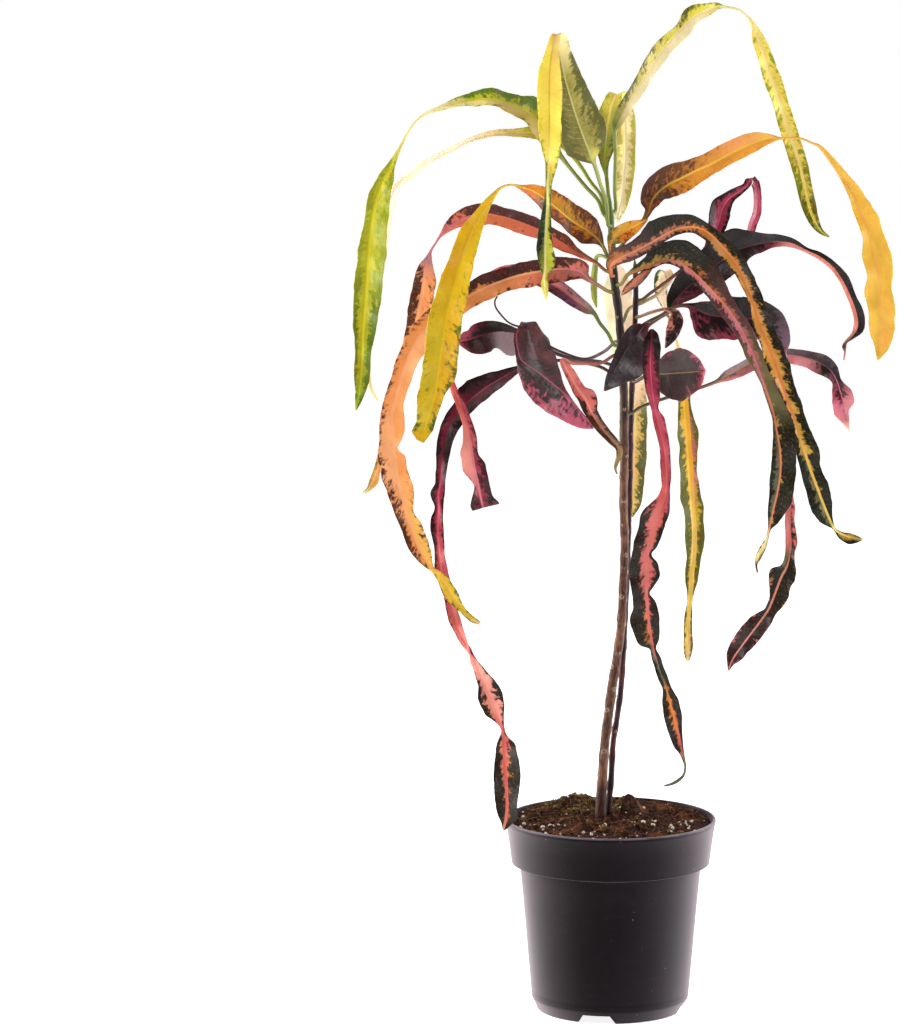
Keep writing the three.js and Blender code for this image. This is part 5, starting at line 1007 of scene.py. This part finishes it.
def addBlade(bm, layers, rows, outward, rowAt, paintAt, leaf, seed):
    look = leafLook
    points, sides, turns = zip(*rows)
    hold, calm = leaf.get("hold", leafGloss[leaf["slot"]]["hold"]), leaf.get("calm", 1)
    shiftAt = glider(*zip(*leaf.get("ribShift", [(0, 0), (1, 0)])))
    count, half = len(points), look["halfColumns"]
    foldSin, foldCos = sin(radians(look["fold"])), cos(radians(look["fold"]))
    stops = [0.0]
    for a, b in zip(points, points[1:]):
        stops.append(stops[-1] + (b - a).length * 1000)
    aAt, bAt = glider(stops, [s[0] for s in sides]), glider(stops, [s[1] for s in sides])
    faces = []
    for i, point in enumerate(points):
        heading = outward if i == 0 else curveAt(points, min(i, count - 2), 0 if i < count - 1 else 1)[1]
        face = squareTo(up if turns[i] == over else eye - point, heading)
        if turns[i] != over:
            face = Matrix.Rotation(radians(turns[i]), 3, heading) @ face
        faces.append(face)
    rings, notes = [], []
    for i in range(count - 1):
        length = stops[i + 1] - stops[i]
        steps = max(2, round(length / look["step"]))
        for j in range(steps + (1 if i + 2 == count else 0)):
            f = j / steps
            at = stops[i] + length * f
            centre, heading = curveAt(points, i, f)
            if i == 0 and j == 0:
                heading = outward
            face = squareTo(faces[i].lerp(faces[i + 1], f), heading)
            side = heading.cross(face)
            a, b = max(look["narrowest"], aAt(at)), max(look["narrowest"], bAt(at))
            blade = smoothStep(a + b, look["threadWidth"], look["bladeWidth"])
            middle = max(a + b, 1.1) / 2
            wave = look["wave"] * blade * calm
            shift = shiftAt(rowAt(i + f))
            aLift = a * foldSin * blade + wave * sin(2 * pi * at / look["waveLength"])
            bLift = b * foldSin * blade + wave * sin(2 * pi * at / look["waveLength"] + 2)
            ring, note = [], []
            for column in range(2 * half):
                angle = pi * column / half
                v, rise = cos(angle), sin(angle)
                way = 1 if v > 0 else -1
                v = abs(v) ** mix(1, 1.25, blade) * way
                width, lift = (a, aLift) if v > 0 else (b, bLift)
                grain = noise.noise(Vector((at / 7, 9 * way, seed)))
                crimp = noise.noise(Vector((at / 3.1, 5 * way, seed + 20)))
                far = abs(v) ** 2 * blade
                nibble = look["ragged"] * calm * (grain + 0.6 * crimp) * far
                reach = width * mix(1, foldCos, blade) * v * (1 + nibble)
                frill = look["frill"] * sin(2 * pi * at / look["frillLength"] + seed + (2.4 if v > 0 else 0))
                height = lift * abs(v) ** 1.15 + far * calm * (frill + 0.5 * crimp + 0.25 * grain)
                near = abs(reach - shift)
                if rise >= 0:
                    thick = look["bladeTop"] - look["groove"] * exp(-(near / look["grooveReach"]) ** 2)
                else:
                    thick = look["bladeUnder"] + look["ridge"] * exp(-(near / look["ridgeReach"]) ** 2)
                # round as a thread, flat as a blade
                leafy = thick * abs(rise) ** 0.35 * (1 if rise > 0 else -1) if abs(rise) > 1e-6 else 0
                height += mix(middle * rise, leafy, blade)
                ring.append(centre + (side * reach + face * height) / 1000)
                edge = width * (1 - abs(v)) + 0.02
                note.append(Vector((at + seed * 500, width * v - shift, edge)))
            rings.append(ring)
            colours, amounts = paintAt(rowAt(i + f))
            notes.append((note, [*colours, (*amounts, hold)]))

    def tag(vert, row, column):
        spots, colours = notes[row]
        vert[layers[0]] = spots[column]
        for layer, colour in zip(layers[1:], colours):
            vert[layer] = colour

    sleeve(bm, rings, tag, True)


def growLeaf(leafName, seed):
    leaf = leaves[leafName]
    rows, paintAt = readRows(leaf["rows"]), readPaint(leaf["paint"])
    first, sides, turn = rows[0]
    centre, radius = stemAt(stems[leaf["stem"]], leaf["at"])
    outward = Vector((first.x - centre.x, first.y - centre.y, 0)).normalized()
    # the root stands a little in the bark, and the collar outside it
    bark, collar = (radius + leafLook["bark"]) / 1000, leafLook["collar"] / 1000
    petiole = leafLook["petiole"] if sides[0] > leafLook["widestPetiole"] else sides[0]
    rootWidth = petiole + leafLook["rootSwell"]
    rows = [(centre + outward * (bark - leafLook["rootDepth"] / 1000), (rootWidth, rootWidth), turn),
            (centre + outward * (bark + collar) + up * (collar / 4), (petiole, petiole), turn),
            *[trueWidth(row) for row in rows]]
    bm = bmesh.new()
    layers = [bm.verts.layers.float_vector.new("place")]
    for name in ("groundA", "groundB", "ribColour", "markColour", "amounts"):
        layers.append(bm.verts.layers.float_color.new(name))
    addBlade(bm, layers, rows, outward, lambda place: place - 2, paintAt, leaf, seed)
    if "hook" in leaf:
        hook = [trueWidth(row) for row in readRows(leaf["hook"])]
        outward = (hook[1][0] - hook[0][0]).normalized()
        addBlade(bm, layers, hook, outward, lambda place: 3, paintAt, leaf, seed)
    closeSleeves(bm)
    finishedPiece(leafName.replace("_leaf", "_foliage"), bm, leafFinish(leaf["slot"]), leafName)


# the waxy finish of each slot: hold is how far the marks keep to the margins
leafGloss = {
    "leaf_lime": {"hold": 0.3, "rough": 0.36, "veins": 0.3, "glow": 0.3, "shine": 0.26,
                  "rich": 1.05, "light": 0.94},
    "leaf_gold": {"hold": 0.35, "rough": 0.36, "veins": 0.25, "glow": 0.3, "shine": 0.26,
                  "rich": 1.07, "light": 0.96},
    "leaf_pale": {"hold": 0.3, "rough": 0.42, "veins": 0.25, "glow": 0.35, "shine": 0.26,
                  "rich": 0.98, "light": 1.0},
    "leaf_orange": {"hold": 0.22, "rough": 0.36, "veins": 0.25, "glow": 0.2, "shine": 0.28,
                    "rich": 1.04, "light": 0.96},
    "leaf_coral": {"hold": 0.4, "rough": 0.34, "veins": 0.12, "glow": 0.12, "shine": 0.22,
                   "rich": 1.0, "light": 1.0},
    "leaf_crimson": {"hold": 0.4, "rough": 0.33, "veins": 0.14, "glow": 0.12, "shine": 0.22,
                     "rich": 1.0, "light": 1.0},
    "leaf_maroon": {"hold": -0.16, "rough": 0.3, "veins": 0.2, "glow": 0.08, "shine": 0.32,
                    "rich": 0.94, "light": 1.0},
    "leaf_olive": {"hold": 0.34, "rough": 0.32, "veins": 0.1, "glow": 0.1, "shine": 0.2,
                   "rich": 0.98, "light": 0.98},
}
# lengths in mm; spots are their scales along and across the blade, detail and roughness
patternLook = {
    "spacing": 4.6, "slant": 0.5, "sway": 6.0, "comb": 0.006, "sharp": 16, "quilt": 0.00022, "swap": 23.0,
    "bend": (0.11, 0.11, 2.0, 0.5), "broad": (0.13, 0.1, 3.0, 0.6), "blotch": (0.33, 0.24, 2.0, 0.5),
    "small": (1.0, 0.8, 3.0, 0.65), "fleck": (0.7, 0.5, 2.0, 0.6), "tint": (0.05, 0.09, 3.0, 0.6),
    "dent": (0.1, 0.12, 2.0, 0.45),
}
leafFinishes = {}


def bladeSurface(name, gloss, underside):
    look = patternLook
    s = Surface(name)

    def spots(kind, along, across, layer):
        alongScale, acrossScale, detail, rough = look[kind]
        return s.noise(s.point(along * alongScale, across * acrossScale, layer), 1.0, detail, rough)

    along, side, edge = s.split(s.attribute("place", "Vector"))
    coverA, coverB, ribWidth = s.split(s.attribute("amounts"))
    hold = s.attribute("amounts", "Alpha")
    ribColour, markColour = s.attribute("ribColour"), s.attribute("markColour")
    near = abs(side)
    onA = s.ramp(side, -0.25, 0.25)
    relative = near / (near + edge)
    # veins run out from the midrib, slanting to the tip
    lean = along - near * look["slant"] + spots("bend", along, side, 3.0) * look["sway"]
    wing = s.math("SIGN", side) * look["swap"]
    ripple = s.math("COSINE", lean * (2 * pi / look["spacing"]) + wing)
    # blotches stretched along the veins, with small flecks
    broad, blotch, small = [spots(kind, lean, near, wing) for kind in ("broad", "blotch", "small")]
    cover = s.blendValue(onA, coverB, coverA)
    field = broad * 0.42 + blotch * 0.42 + small * 0.16 + hold * (relative - 0.5) + ripple * look["comb"]
    above = field - (0.76 - cover * 0.5)
    marks = s.math("MULTIPLY_ADD", above, look["sharp"], 0.5, clamp=True) * s.ramp(cover, 0.0, 0.06)
    halo = s.ramp(above, -0.12, 0.03, 0.0, 0.5) * s.ramp(cover, 0.0, 0.2)
    ground = s.blend(onA, s.attribute("groundB"), s.attribute("groundA"))
    tint = spots("tint", along, side, 7.0)
    colour = s.blend(s.ramp(tint, 0.35, 0.75, 0.0, 0.2), ground, ribColour)
    colour = s.blend(halo, colour, markColour)
    stain = s.blend(s.ramp(spots("fleck", lean, near, 31.0), 0.52, 0.72, 0.0, 0.3), markColour, colour)
    colour = s.blend(marks, colour, stain)
    # lateral veins and the midrib
    veins = s.ramp(ripple, 0.86, 0.99) * s.ramp(relative, 1.0, 0.55)
    veins *= s.math("MULTIPLY_ADD", marks, -0.8, 1.0)
    veins *= s.ramp(broad, 0.35, 0.6, 0.15, gloss["veins"] * (1.6 if underside else 1.0))
    colour = s.blend(veins, colour, ribColour)
    ribEdge = near + s.math("MULTIPLY_ADD", small, 0.7, -0.35) - ribWidth
    rib = s.ramp(ribEdge, 0.35, -0.2) * s.ramp(ribWidth, 0.0, 0.15)
    colour = s.blend(rib, colour, ribColour)
    # thin dark rim, and light and dark from patch to patch
    colour = s.blend(s.ramp(edge, 0.5, 0.1, 0.0, 0.3), colour, markColour)
    value = s.ramp(tint, 0.25, 0.75, 0.9 * gloss["light"], 1.08 * gloss["light"])
    rich = gloss["rich"] * (0.9 if underside else 1.0)
    colour = s.node("ShaderNodeHueSaturation", {}, {"Saturation": rich, "Value": value, "Color": colour})
    rough = s.ramp(small, 0.3, 0.7, gloss["rough"] + (0.12 if underside else -0.04),
                   gloss["rough"] + (0.22 if underside else 0.1))
    s.paint(colour, rough, Subsurface_Weight=gloss["glow"], Subsurface_Scale=0.002,
            Subsurface_Radius=(1.0, 0.5, 0.2), Specular_IOR_Level=gloss["shine"])
    # the blade is softly uneven, a little quilted between its veins
    quilt = s.math("MULTIPLY_ADD", ripple, -0.1, small * 0.35)
    quilt = quilt + spots("dent", along, side, 17.0) * 6.0 - rib * 0.3
    s.bump(quilt, look["quilt"] * (-1 if underside else 1), 0.8)
    return s.material


def leafFinish(slotName):
    if slotName not in leafFinishes:
        gloss = leafGloss[slotName]
        leafFinishes[slotName] = [bladeSurface(slotName + "_upper", gloss, False),
                                  bladeSurface(slotName + "_under", gloss, True)]
    return leafFinishes[slotName]


# pot: sizes in mm, angles in degrees
potLook = {
    "rimRadius": 85, "height": 157, "bandHeight": 36, "bandFootRadius": 80, "bodyTopRadius": 73,
    "bodyFootRadius": 63.5, "footRadius": 58.5, "bevelHeight": 10, "wall": 1.7, "lip": 0.7, "floorLift": 7,
    "floorThickness": 2, "padRadius": 20, "ringFootRadius": 53, "steps": 168, "notches": 4,
    "firstNotch": -102, "notchTop": 22, "notchFoot": 32, "notchDepth": 30, "drains": 8, "drainRadius": 4.5,
    "drainCircle": 38, "lineHeight": 15.5, "lineDepth": 0.05, "sharpFrom": 32,
}


def turnedBody(profile, steps):
    # a profile of (radius, height) in mm, turned about the middle
    turns = [2 * pi * k / steps for k in range(steps)]
    rings = [[Vector((radius * cos(turn), radius * sin(turn), height)) / 1000 for turn in turns]
             for radius, height in profile]
    bm = bmesh.new()
    sleeve(bm, rings)
    closeSleeves(bm)
    return bm


def potProfile():
    p = potLook
    band, inner = p["height"] - p["bandHeight"], p["floorLift"] + p["floorThickness"]
    rim, foot, top = p["rimRadius"], p["bodyFootRadius"], p["bodyTopRadius"]
    bandFoot, pad, wall = p["bandFootRadius"], p["padRadius"], p["wall"]
    line, deep = p["lineHeight"], p["lineDepth"]
    slope = (top - foot) / (band - 3 - p["bevelHeight"] - 1)
    wallAt = foot + slope * (line - p["bevelHeight"] - 1)
    return [
        (0, 0), (pad - 0.5, 0), (pad, 0.4), (pad + 3, p["floorLift"]),
        (p["ringFootRadius"] - 1, p["floorLift"]), (p["ringFootRadius"] + 1, 0.3),
        (p["ringFootRadius"] + 1.5, 0), (p["footRadius"] - 0.6, 0),
        (p["footRadius"], 0.3), (p["footRadius"] + 0.6, 1), (foot - 1.2, p["bevelHeight"] - 1.5),
        (foot - 0.3, p["bevelHeight"] - 0.2), (foot, p["bevelHeight"] + 1),
        (wallAt - slope, line - 1), (wallAt - deep, line - 0.45), (wallAt - deep, line + 0.45),
        (wallAt + slope, line + 1), (foot + (top - foot) * 0.35, mix(p["bevelHeight"], band, 0.35)),
        (foot + (top - foot) * 0.7, mix(p["bevelHeight"], band, 0.7)), (top, band - 3),
        (top + 0.6, band - 1.4),
        (bandFoot - 1.2, band), (bandFoot - 0.25, band), (bandFoot, band + 0.12), (bandFoot, band + 0.4),
        (mix(bandFoot, rim - 0.7, 0.5), band + 17), (rim - 0.7, p["height"] - 4.5),
        (rim - 0.1, p["height"] - 3.4),
        (rim, p["height"] - 2.2), (rim - 0.1, p["height"] - 1), (rim - 0.4, p["height"] - 0.35),
        (rim - 1.1, p["height"]), (rim - wall - 0.2, p["height"] - 0.1),
        (rim - wall - p["lip"], p["height"] - 1.4), (bandFoot - wall, band + 3.4),
        (bandFoot - wall - 1, band + 1.9), (top - wall, band - 0.8), (foot - wall, inner + 2.5),
        (foot - wall - 2.4, inner), (pad + 1.5, inner), (pad - 1.5, p["floorThickness"]),
        (0, p["floorThickness"]),
    ]


def makePot():
    p = potLook
    bm = turnedBody(potProfile(), p["steps"])
    pot = finishedPiece("nursery_pot", bm, [potSurface()], "pot")
    # notches in the foot ring and drain holes in the floor
    cutter = bmesh.new()
    for i in range(p["notches"]):
        made = bmesh.ops.create_cube(cutter, size=1)["verts"]
        for vert in made:
            top = vert.co.z > 0
            vert.co = (vert.co.x * (p["notchTop"] if top else p["notchFoot"]), vert.co.y * p["notchDepth"],
                       p["floorLift"] if top else -1)
        turn = Matrix.Rotation(radians(p["firstNotch"] + 360 / p["notches"] * i) - pi / 2, 4, "Z")
        outward = Matrix.Translation((0, p["ringFootRadius"] - 4 + p["notchDepth"] / 2, 0))
        bmesh.ops.transform(cutter, verts=made, matrix=turn @ outward)
    for i in range(p["drains"]):
        angle = 2 * pi * (i + 0.5) / p["drains"]
        made = bmesh.ops.create_cone(cutter, cap_ends=True, segments=28, radius1=p["drainRadius"],
                                     radius2=p["drainRadius"], depth=3 * p["floorLift"])["verts"]
        middle = (p["drainCircle"] * cos(angle), p["drainCircle"] * sin(angle), p["floorLift"])
        bmesh.ops.translate(cutter, verts=made, vec=middle)
    bmesh.ops.transform(cutter, verts=cutter.verts, matrix=toMetres)
    bmesh.ops.recalc_face_normals(cutter, faces=cutter.faces)
    cutMesh = bpy.data.meshes.new("potCutter")
    cutter.to_mesh(cutMesh)
    cutter.free()
    cutObject = bpy.data.objects.new("potCutter", cutMesh)
    scene.collection.objects.link(cutObject)
    cut = pot.modifiers.new("notches", "BOOLEAN")
    cut.operation, cut.solver, cut.object = "DIFFERENCE", "EXACT", cutObject
    settled = bpy.data.meshes.new_from_object(pot.evaluated_get(bpy.context.evaluated_depsgraph_get()))
    pot.modifiers.clear()
    pot.data = settled
    bpy.data.objects.remove(cutObject)
    settled.set_sharp_from_angle(angle=radians(p["sharpFrom"]))


def potSurface():
    s = Surface("pot_plastic")
    place = s.objectPlace()
    fine = s.noise(place, 900.0, 3.0, 0.6)
    broad = s.noise(s.objectPlace((14, 14, 5)), 1.0, 3.0, 0.6)
    flow = s.noise(s.objectPlace((60, 60, 260)), 1.0, 3.0, 0.6)
    colour = s.blend(s.ramp(broad, 0.3, 0.7), linear("0c0a0c"), linear("131013"))
    colour = s.blend(s.ramp(flow, 0.55, 0.75, 0.0, 0.3), colour, linear("242226"))
    dust = s.ramp(s.noise(place, 330.0, 1.0, 0.5), 0.775, 0.8) * s.ramp(broad, 0.45, 0.6)
    colour = s.blend(dust * 0.4, colour, linear("8d8888"))
    streak = s.noise(s.objectPlace((700, 700, 36)), 1.0, 2.0, 0.5)
    scuff = s.ramp(streak, 0.7, 0.76) * s.ramp(broad, 0.56, 0.68)
    colour = s.blend(scuff * 0.35, colour, linear("77747a"))
    # painted highlight: the top of the lip is painted a paler grey, in patches, standing in for the light it
    # catches
    x, y, height = s.split(place)
    outward = s.node("ShaderNodeVectorMath", {"operation": "LENGTH"}, {0: s.point(x, y, 0.0)}, "Value")
    lip = s.ramp(height, 0.1552, 0.1566) * s.ramp(outward, 0.0835, 0.0842)
    # the lip's painted highlight
    colour = s.blend(lip * s.ramp(flow, 0.3, 0.6, 0.4, 0.9), colour, linear("756b70"))
    s.paint(colour, s.ramp(broad, 0.3, 0.75, 0.36, 0.46),
            Specular_IOR_Level=0.44, Specular_Tint=linear("383235"),
            Sheen_Weight=0.92, Sheen_Roughness=0.4, Sheen_Tint=linear("e2cdd6"))
    s.bump(fine * 0.5 + flow * 0.6, 0.0001, 0.35)
    return s.material


# soil: sizes in mm, then how many of each kind of crumb; clumps are (x, y, radius, height)
soilLook = {
    "gap": 0.3, "edgeDrop": 5.5, "mound": 5, "pile": 3.5, "rings": 70, "steps": 190, "crumb": 2.3,
    "clod": 6.2, "clumps": [(14, 21, 14, 14), (-27, 52, 19, 6)],
    "grains": 110, "chips": 260, "fibres": 420, "roots": 210, "moss": 380, "tufts": 110,
}


def soilTop(x, y):
    radius, rim = hypot(x, y), potLook["rimRadius"]
    mound = soilLook["mound"] * cos(min(radius, rim) / rim * pi / 2) ** 0.8
    crumbs = 1.5 * sin(x / 6.3 + 1.1) * cos(y / 7.1) + 0.9 * sin(x / 3.7 - y / 4.9 + 2)
    clump = sum(tall * exp(-1.8 * (hypot(x - cx, y - cy) / reach) ** 3)
                for cx, cy, reach, tall in soilLook["clumps"])
    calm = smoothStep(rim - radius, 5, 16)
    behind = smoothStep(y, 8, 50) * smoothStep(radius, 40, 66)
    edgeHeight = potLook["height"] - soilLook["edgeDrop"]
    return edgeHeight + mound + crumbs * calm + clump + soilLook["pile"] * behind


def crumbAt(x, y):
    spot = Vector((x, y, 0))
    lumps = noise.noise(spot / 4.0) * 0.8 + noise.noise(spot / 1.5 + Vector((5, 3, 1))) * 0.55
    # rounded clods with creases between them
    clods = 0.4 - noise.voronoi(spot / soilLook["clod"])[0][0]
    return soilLook["crumb"] * (lumps + 1.2 * clods)


def makeSoil():
    p, gap = potLook, soilLook["gap"]
    inner, band = p["floorLift"] + p["floorThickness"] + gap, p["height"] - p["bandHeight"]
    edgeHeight = p["height"] - soilLook["edgeDrop"]
    slope = (p["rimRadius"] - p["lip"] - p["bandFootRadius"]) / (p["bandHeight"] - 4)
    edge = p["bandFootRadius"] - p["wall"] + slope * (edgeHeight - band - 3.4) - gap
    wall, pad, foot = p["wall"], p["padRadius"], p["bodyFootRadius"]
    profile = [
        (0, p["floorThickness"] + gap), (pad - 1.5 - gap, p["floorThickness"] + gap), (pad + 1.3, inner),
        (foot - wall - 2.7, inner), (foot - wall - 2 * gap, inner + 2.6),
        (p["bodyTopRadius"] - wall - 2 * gap, band - 0.4), (p["bandFootRadius"] - wall - 1.7, band + 2.4),
        (p["bandFootRadius"] - wall - 2 * gap, band + 3.8), (edge, edgeHeight - 2),
    ]
    rings = soilLook["rings"]
    profile += [((edge - 0.1) * i / rings, edgeHeight) for i in range(rings, -1, -1)]
    bm = turnedBody(profile, soilLook["steps"])
    for vert in bm.verts:
        if vert.co.z * 1000 > edgeHeight - 0.01:
            x, y = vert.co.x * 1000, vert.co.y * 1000
            calm = 0.35 + 0.65 * smoothStep(edge - hypot(x, y), 0, 5)
            vert.co.z = (soilTop(x, y) + crumbAt(x, y) * calm) / 1000
    finishedPiece("soil_plug", bm, [soilSurface()], "soil")


def scatterSpot(rng, low=7, high=79, front=1.0):
    # a spot on the soil; above 1, front draws the spots towards the viewer's side
    while True:
        radius = sqrt(rng.uniform((low / high) ** 2, 1)) * high
        angle = rng.uniform(-pi, pi)
        x, y = radius * cos(angle), radius * sin(angle)
        if rng.uniform(0, front) < 1 or y < -8:
            return x, y


def scatterLumps(name, count, spotAt, sizeAt, squash, finish, rng):
    # small rough lumps sunk a little into the soil
    bm = bmesh.new()
    for i in range(count):
        x, y = spotAt()
        size = sizeAt()
        z = soilTop(x, y) + crumbAt(x, y) + size * 0.2
        turn = Matrix.Rotation(rng.uniform(0, 2 * pi), 4, "Z")
        turn @= Matrix.Rotation(rng.uniform(-0.5, 0.5), 4, "X")
        length, width = size * rng.uniform(0.8, 1.2), size * rng.uniform(0.6, 1.0)
        shape = Matrix.Diagonal((length, width, size * squash, 1))
        made = bmesh.ops.create_icosphere(bm, subdivisions=1, radius=0.5)["verts"]
        for vert in made:
            vert.co *= 1 + 0.45 * noise.noise(vert.co * 2.3 + Vector((i * 3.7, 0, 0)))
        bmesh.ops.transform(bm, verts=made, matrix=toMetres @ Matrix.Translation((x, y, z)) @ turn @ shape)
    for face in bm.faces:
        face.smooth = True
    finishedPiece(name, bm, [finish])


def scatterFibres(name, count, spotAt, lengths, thick, lift, finish, rng):
    # short bent fibres that lie on the soil
    bm = bmesh.new()
    for i in range(count):
        x, y = spotAt()
        length, angle = rng.uniform(*lengths), rng.uniform(0, 2 * pi)
        bend, rise = rng.uniform(-0.25, 0.25), rng.uniform(*lift)
        rings, steps = [], 5
        for j in range(steps + 1):
            t = j / steps
            angle += bend
            z = soilTop(x, y) + crumbAt(x, y) + 0.25 + rise * sin(pi * t)
            radius = thick * (1 - 0.6 * t)
            ahead = Vector((cos(angle), sin(angle), 0))
            side = ahead.cross(up)
            corners = [side * cos(2 * pi * k / 3) + up * sin(2 * pi * k / 3) for k in range(3)]
            rings.append([(Vector((x, y, z)) + corner * radius) / 1000 for corner in corners])
            x, y = x + ahead.x * length / steps, y + ahead.y * length / steps
            if hypot(x, y) > 80:
                x, y = x * 0.97, y * 0.97
        sleeve(bm, rings)
    closeSleeves(bm)
    finishedPiece(name, bm, [finish])


def grainSurface(name, dark, light, scale):
    s = Surface(name)
    grain = s.noise(s.objectPlace(), scale, 3.0, 0.6)
    patch = s.noise(s.objectPlace(), scale / 7, 2.0, 0.5)
    colour = s.blend(s.ramp(grain, 0.3, 0.7), linear(dark), linear(light))
    colour = s.blend(s.ramp(patch, 0.4, 0.7, 0.0, 0.5), colour, linear(dark))
    s.paint(colour, s.ramp(grain, 0.3, 0.7, 0.85, 0.95), Specular_IOR_Level=0.25)
    s.bump(grain, 0.0003, 0.7)
    return s.material


def soilSurface():
    s = Surface("potting_soil")
    place = s.objectPlace()
    crumb = s.noise(place, 420.0, 5.0, 0.65)
    patch = s.noise(place, 62.0, 3.0, 0.6)
    flake = s.noise(place, 1500.0, 2.0, 0.6)
    # darkest where the crumb noise is low, in the hollows of the bump below: partly the soil's own dark tone,
    # partly painted shade
    colour = s.blend(s.ramp(crumb, 0.4, 0.62), linear("0c0403"), linear("4a2611"))
    colour = s.blend(s.ramp(patch, 0.5, 0.7, 0.0, 0.7), colour, linear("7b4626"))
    colour = s.blend(s.ramp(flake, 0.64, 0.74, 0.0, 0.55), colour, linear("b07f54"))
    s.paint(colour, s.ramp(crumb, 0.3, 0.7, 0.92, 0.7), Specular_IOR_Level=0.2)
    s.bump(crumb + flake * 0.4, 0.0012, 0.9)
    return s.material


def mossSpot(rng):
    # the moss keeps to the back left, with a few patches elsewhere
    while True:
        x, y = scatterSpot(rng, 5, 78)
        patch = noise.noise(Vector((x / 13, y / 13, 4)))
        if x < 4 and y > 22 + abs(x + 25) * 0.3 and patch > -0.2 or patch > 0.5:
            return x, y


rng = random.Random(41)
for stem in stems.values():
    growStem(stem, rng)
print("stems grown:", len(stems))
for number, leafName in enumerate(leaves):
    growLeaf(leafName, number + 1.37)
print("leaves grown:", len(leaves))
makePot()
print("pot turned")
makeSoil()
fibreFinish = grainSurface("coir_fibre", "6e3b22", "b97c4e", 300.0)
rootFinish = grainSurface("root_fibre", "1f100b", "5d3624", 300.0)
mossFinish = grainSurface("moss", "45371b", "958046", 900.0)
scatterLumps("soil_perlite", soilLook["grains"], lambda: scatterSpot(rng, 8, 79, 2.5),
             lambda: rng.uniform(1.1, 2.3) * rng.choice((1, 1, 1, 1.5, 2.2)), 0.85,
             grainSurface("perlite", "cbbda8", "fbf5ea", 700.0), rng)
scatterLumps("soil_chips", soilLook["chips"], lambda: scatterSpot(rng, 6, 79), lambda: rng.uniform(1.6, 4.6),
             0.5, grainSurface("bark_chip", "2a160f", "74452d", 500.0), rng)
scatterFibres("soil_fibres", soilLook["fibres"], lambda: scatterSpot(rng, 6, 77), (4, 12), 0.26, (0.1, 1.4),
              fibreFinish, rng)
scatterFibres("soil_roots", soilLook["roots"], lambda: scatterSpot(rng, 6, 77), (5, 15), 0.3, (0.1, 1.2),
              rootFinish, rng)
scatterFibres("soil_moss", soilLook["moss"], lambda: mossSpot(rng), (1.6, 4.0), 0.4, (0.6, 2.4),
              mossFinish, rng)
scatterLumps("soil_moss_tufts", soilLook["tufts"], lambda: mossSpot(rng), lambda: rng.uniform(2.2, 5.5), 0.5,
             mossFinish, rng)
print("soil laid")

# each light has (x, y, z) and size in m, watts and screen colour
stageLook = {
    "floorSize": 60, "floorGrey": 0.8, "floorGlow": 0.86, "worldGlow": 0.18, "aim": (0, 0, 0.42),
    "lights": {
        "softLeft": ((-1.9, 0.35, 0.65), (1.5, 1.4), 52, "fffaf6"),
        "softRight": ((1.9, 0.4, 0.65), (1.5, 1.4), 52, "f9f8ff"),
        "softTop": ((-0.5, -1.6, 2.4), (1.2, 1.0), 26, "ffffff"),
        "softBack": ((0.3, 2.4, 1.7), (1.6, 1.4), 9, "ffffff"),
    },
}


def makeFloor():
    bm = bmesh.new()
    bmesh.ops.create_grid(bm, x_segments=1, y_segments=1, size=stageLook["floorSize"])
    mesh = bpy.data.meshes.new("studioFloor")
    bm.to_mesh(mesh)
    bm.free()
    floor = bpy.data.objects.new("studioFloor", mesh)
    scene.collection.objects.link(floor)
    s = Surface("studio_floor")
    grey = stageLook["floorGrey"]
    s.paint((grey, grey, grey, 1), 0.95, Specular_IOR_Level=0.05, Emission_Color=(1, 1, 1, 1),
            Emission_Strength=stageLook["floorGlow"])
    mesh.materials.append(s.material)


def makeLights():
    for name, (place, size, power, colour) in stageLook["lights"].items():
        data = bpy.data.lights.new(name, "AREA")
        data.shape = "RECTANGLE"
        data.size, data.size_y = size
        data.energy = power
        data.color = linear(colour)[:3]
        light = bpy.data.objects.new(name, data)
        light.location = place
        aim = Vector(stageLook["aim"]) - Vector(place)
        light.rotation_euler = aim.to_track_quat("-Z", "Y").to_euler()
        scene.collection.objects.link(light)
    scene.world = bpy.data.worlds.new("studioWorld")
    scene.world.use_nodes = True
    sky = scene.world.node_tree.nodes["Background"].inputs
    sky["Color"].default_value = (1, 1, 1, 1)
    sky["Strength"].default_value = stageLook["worldGlow"]


makeFloor()
makeLights()
print("stage and lights ready")
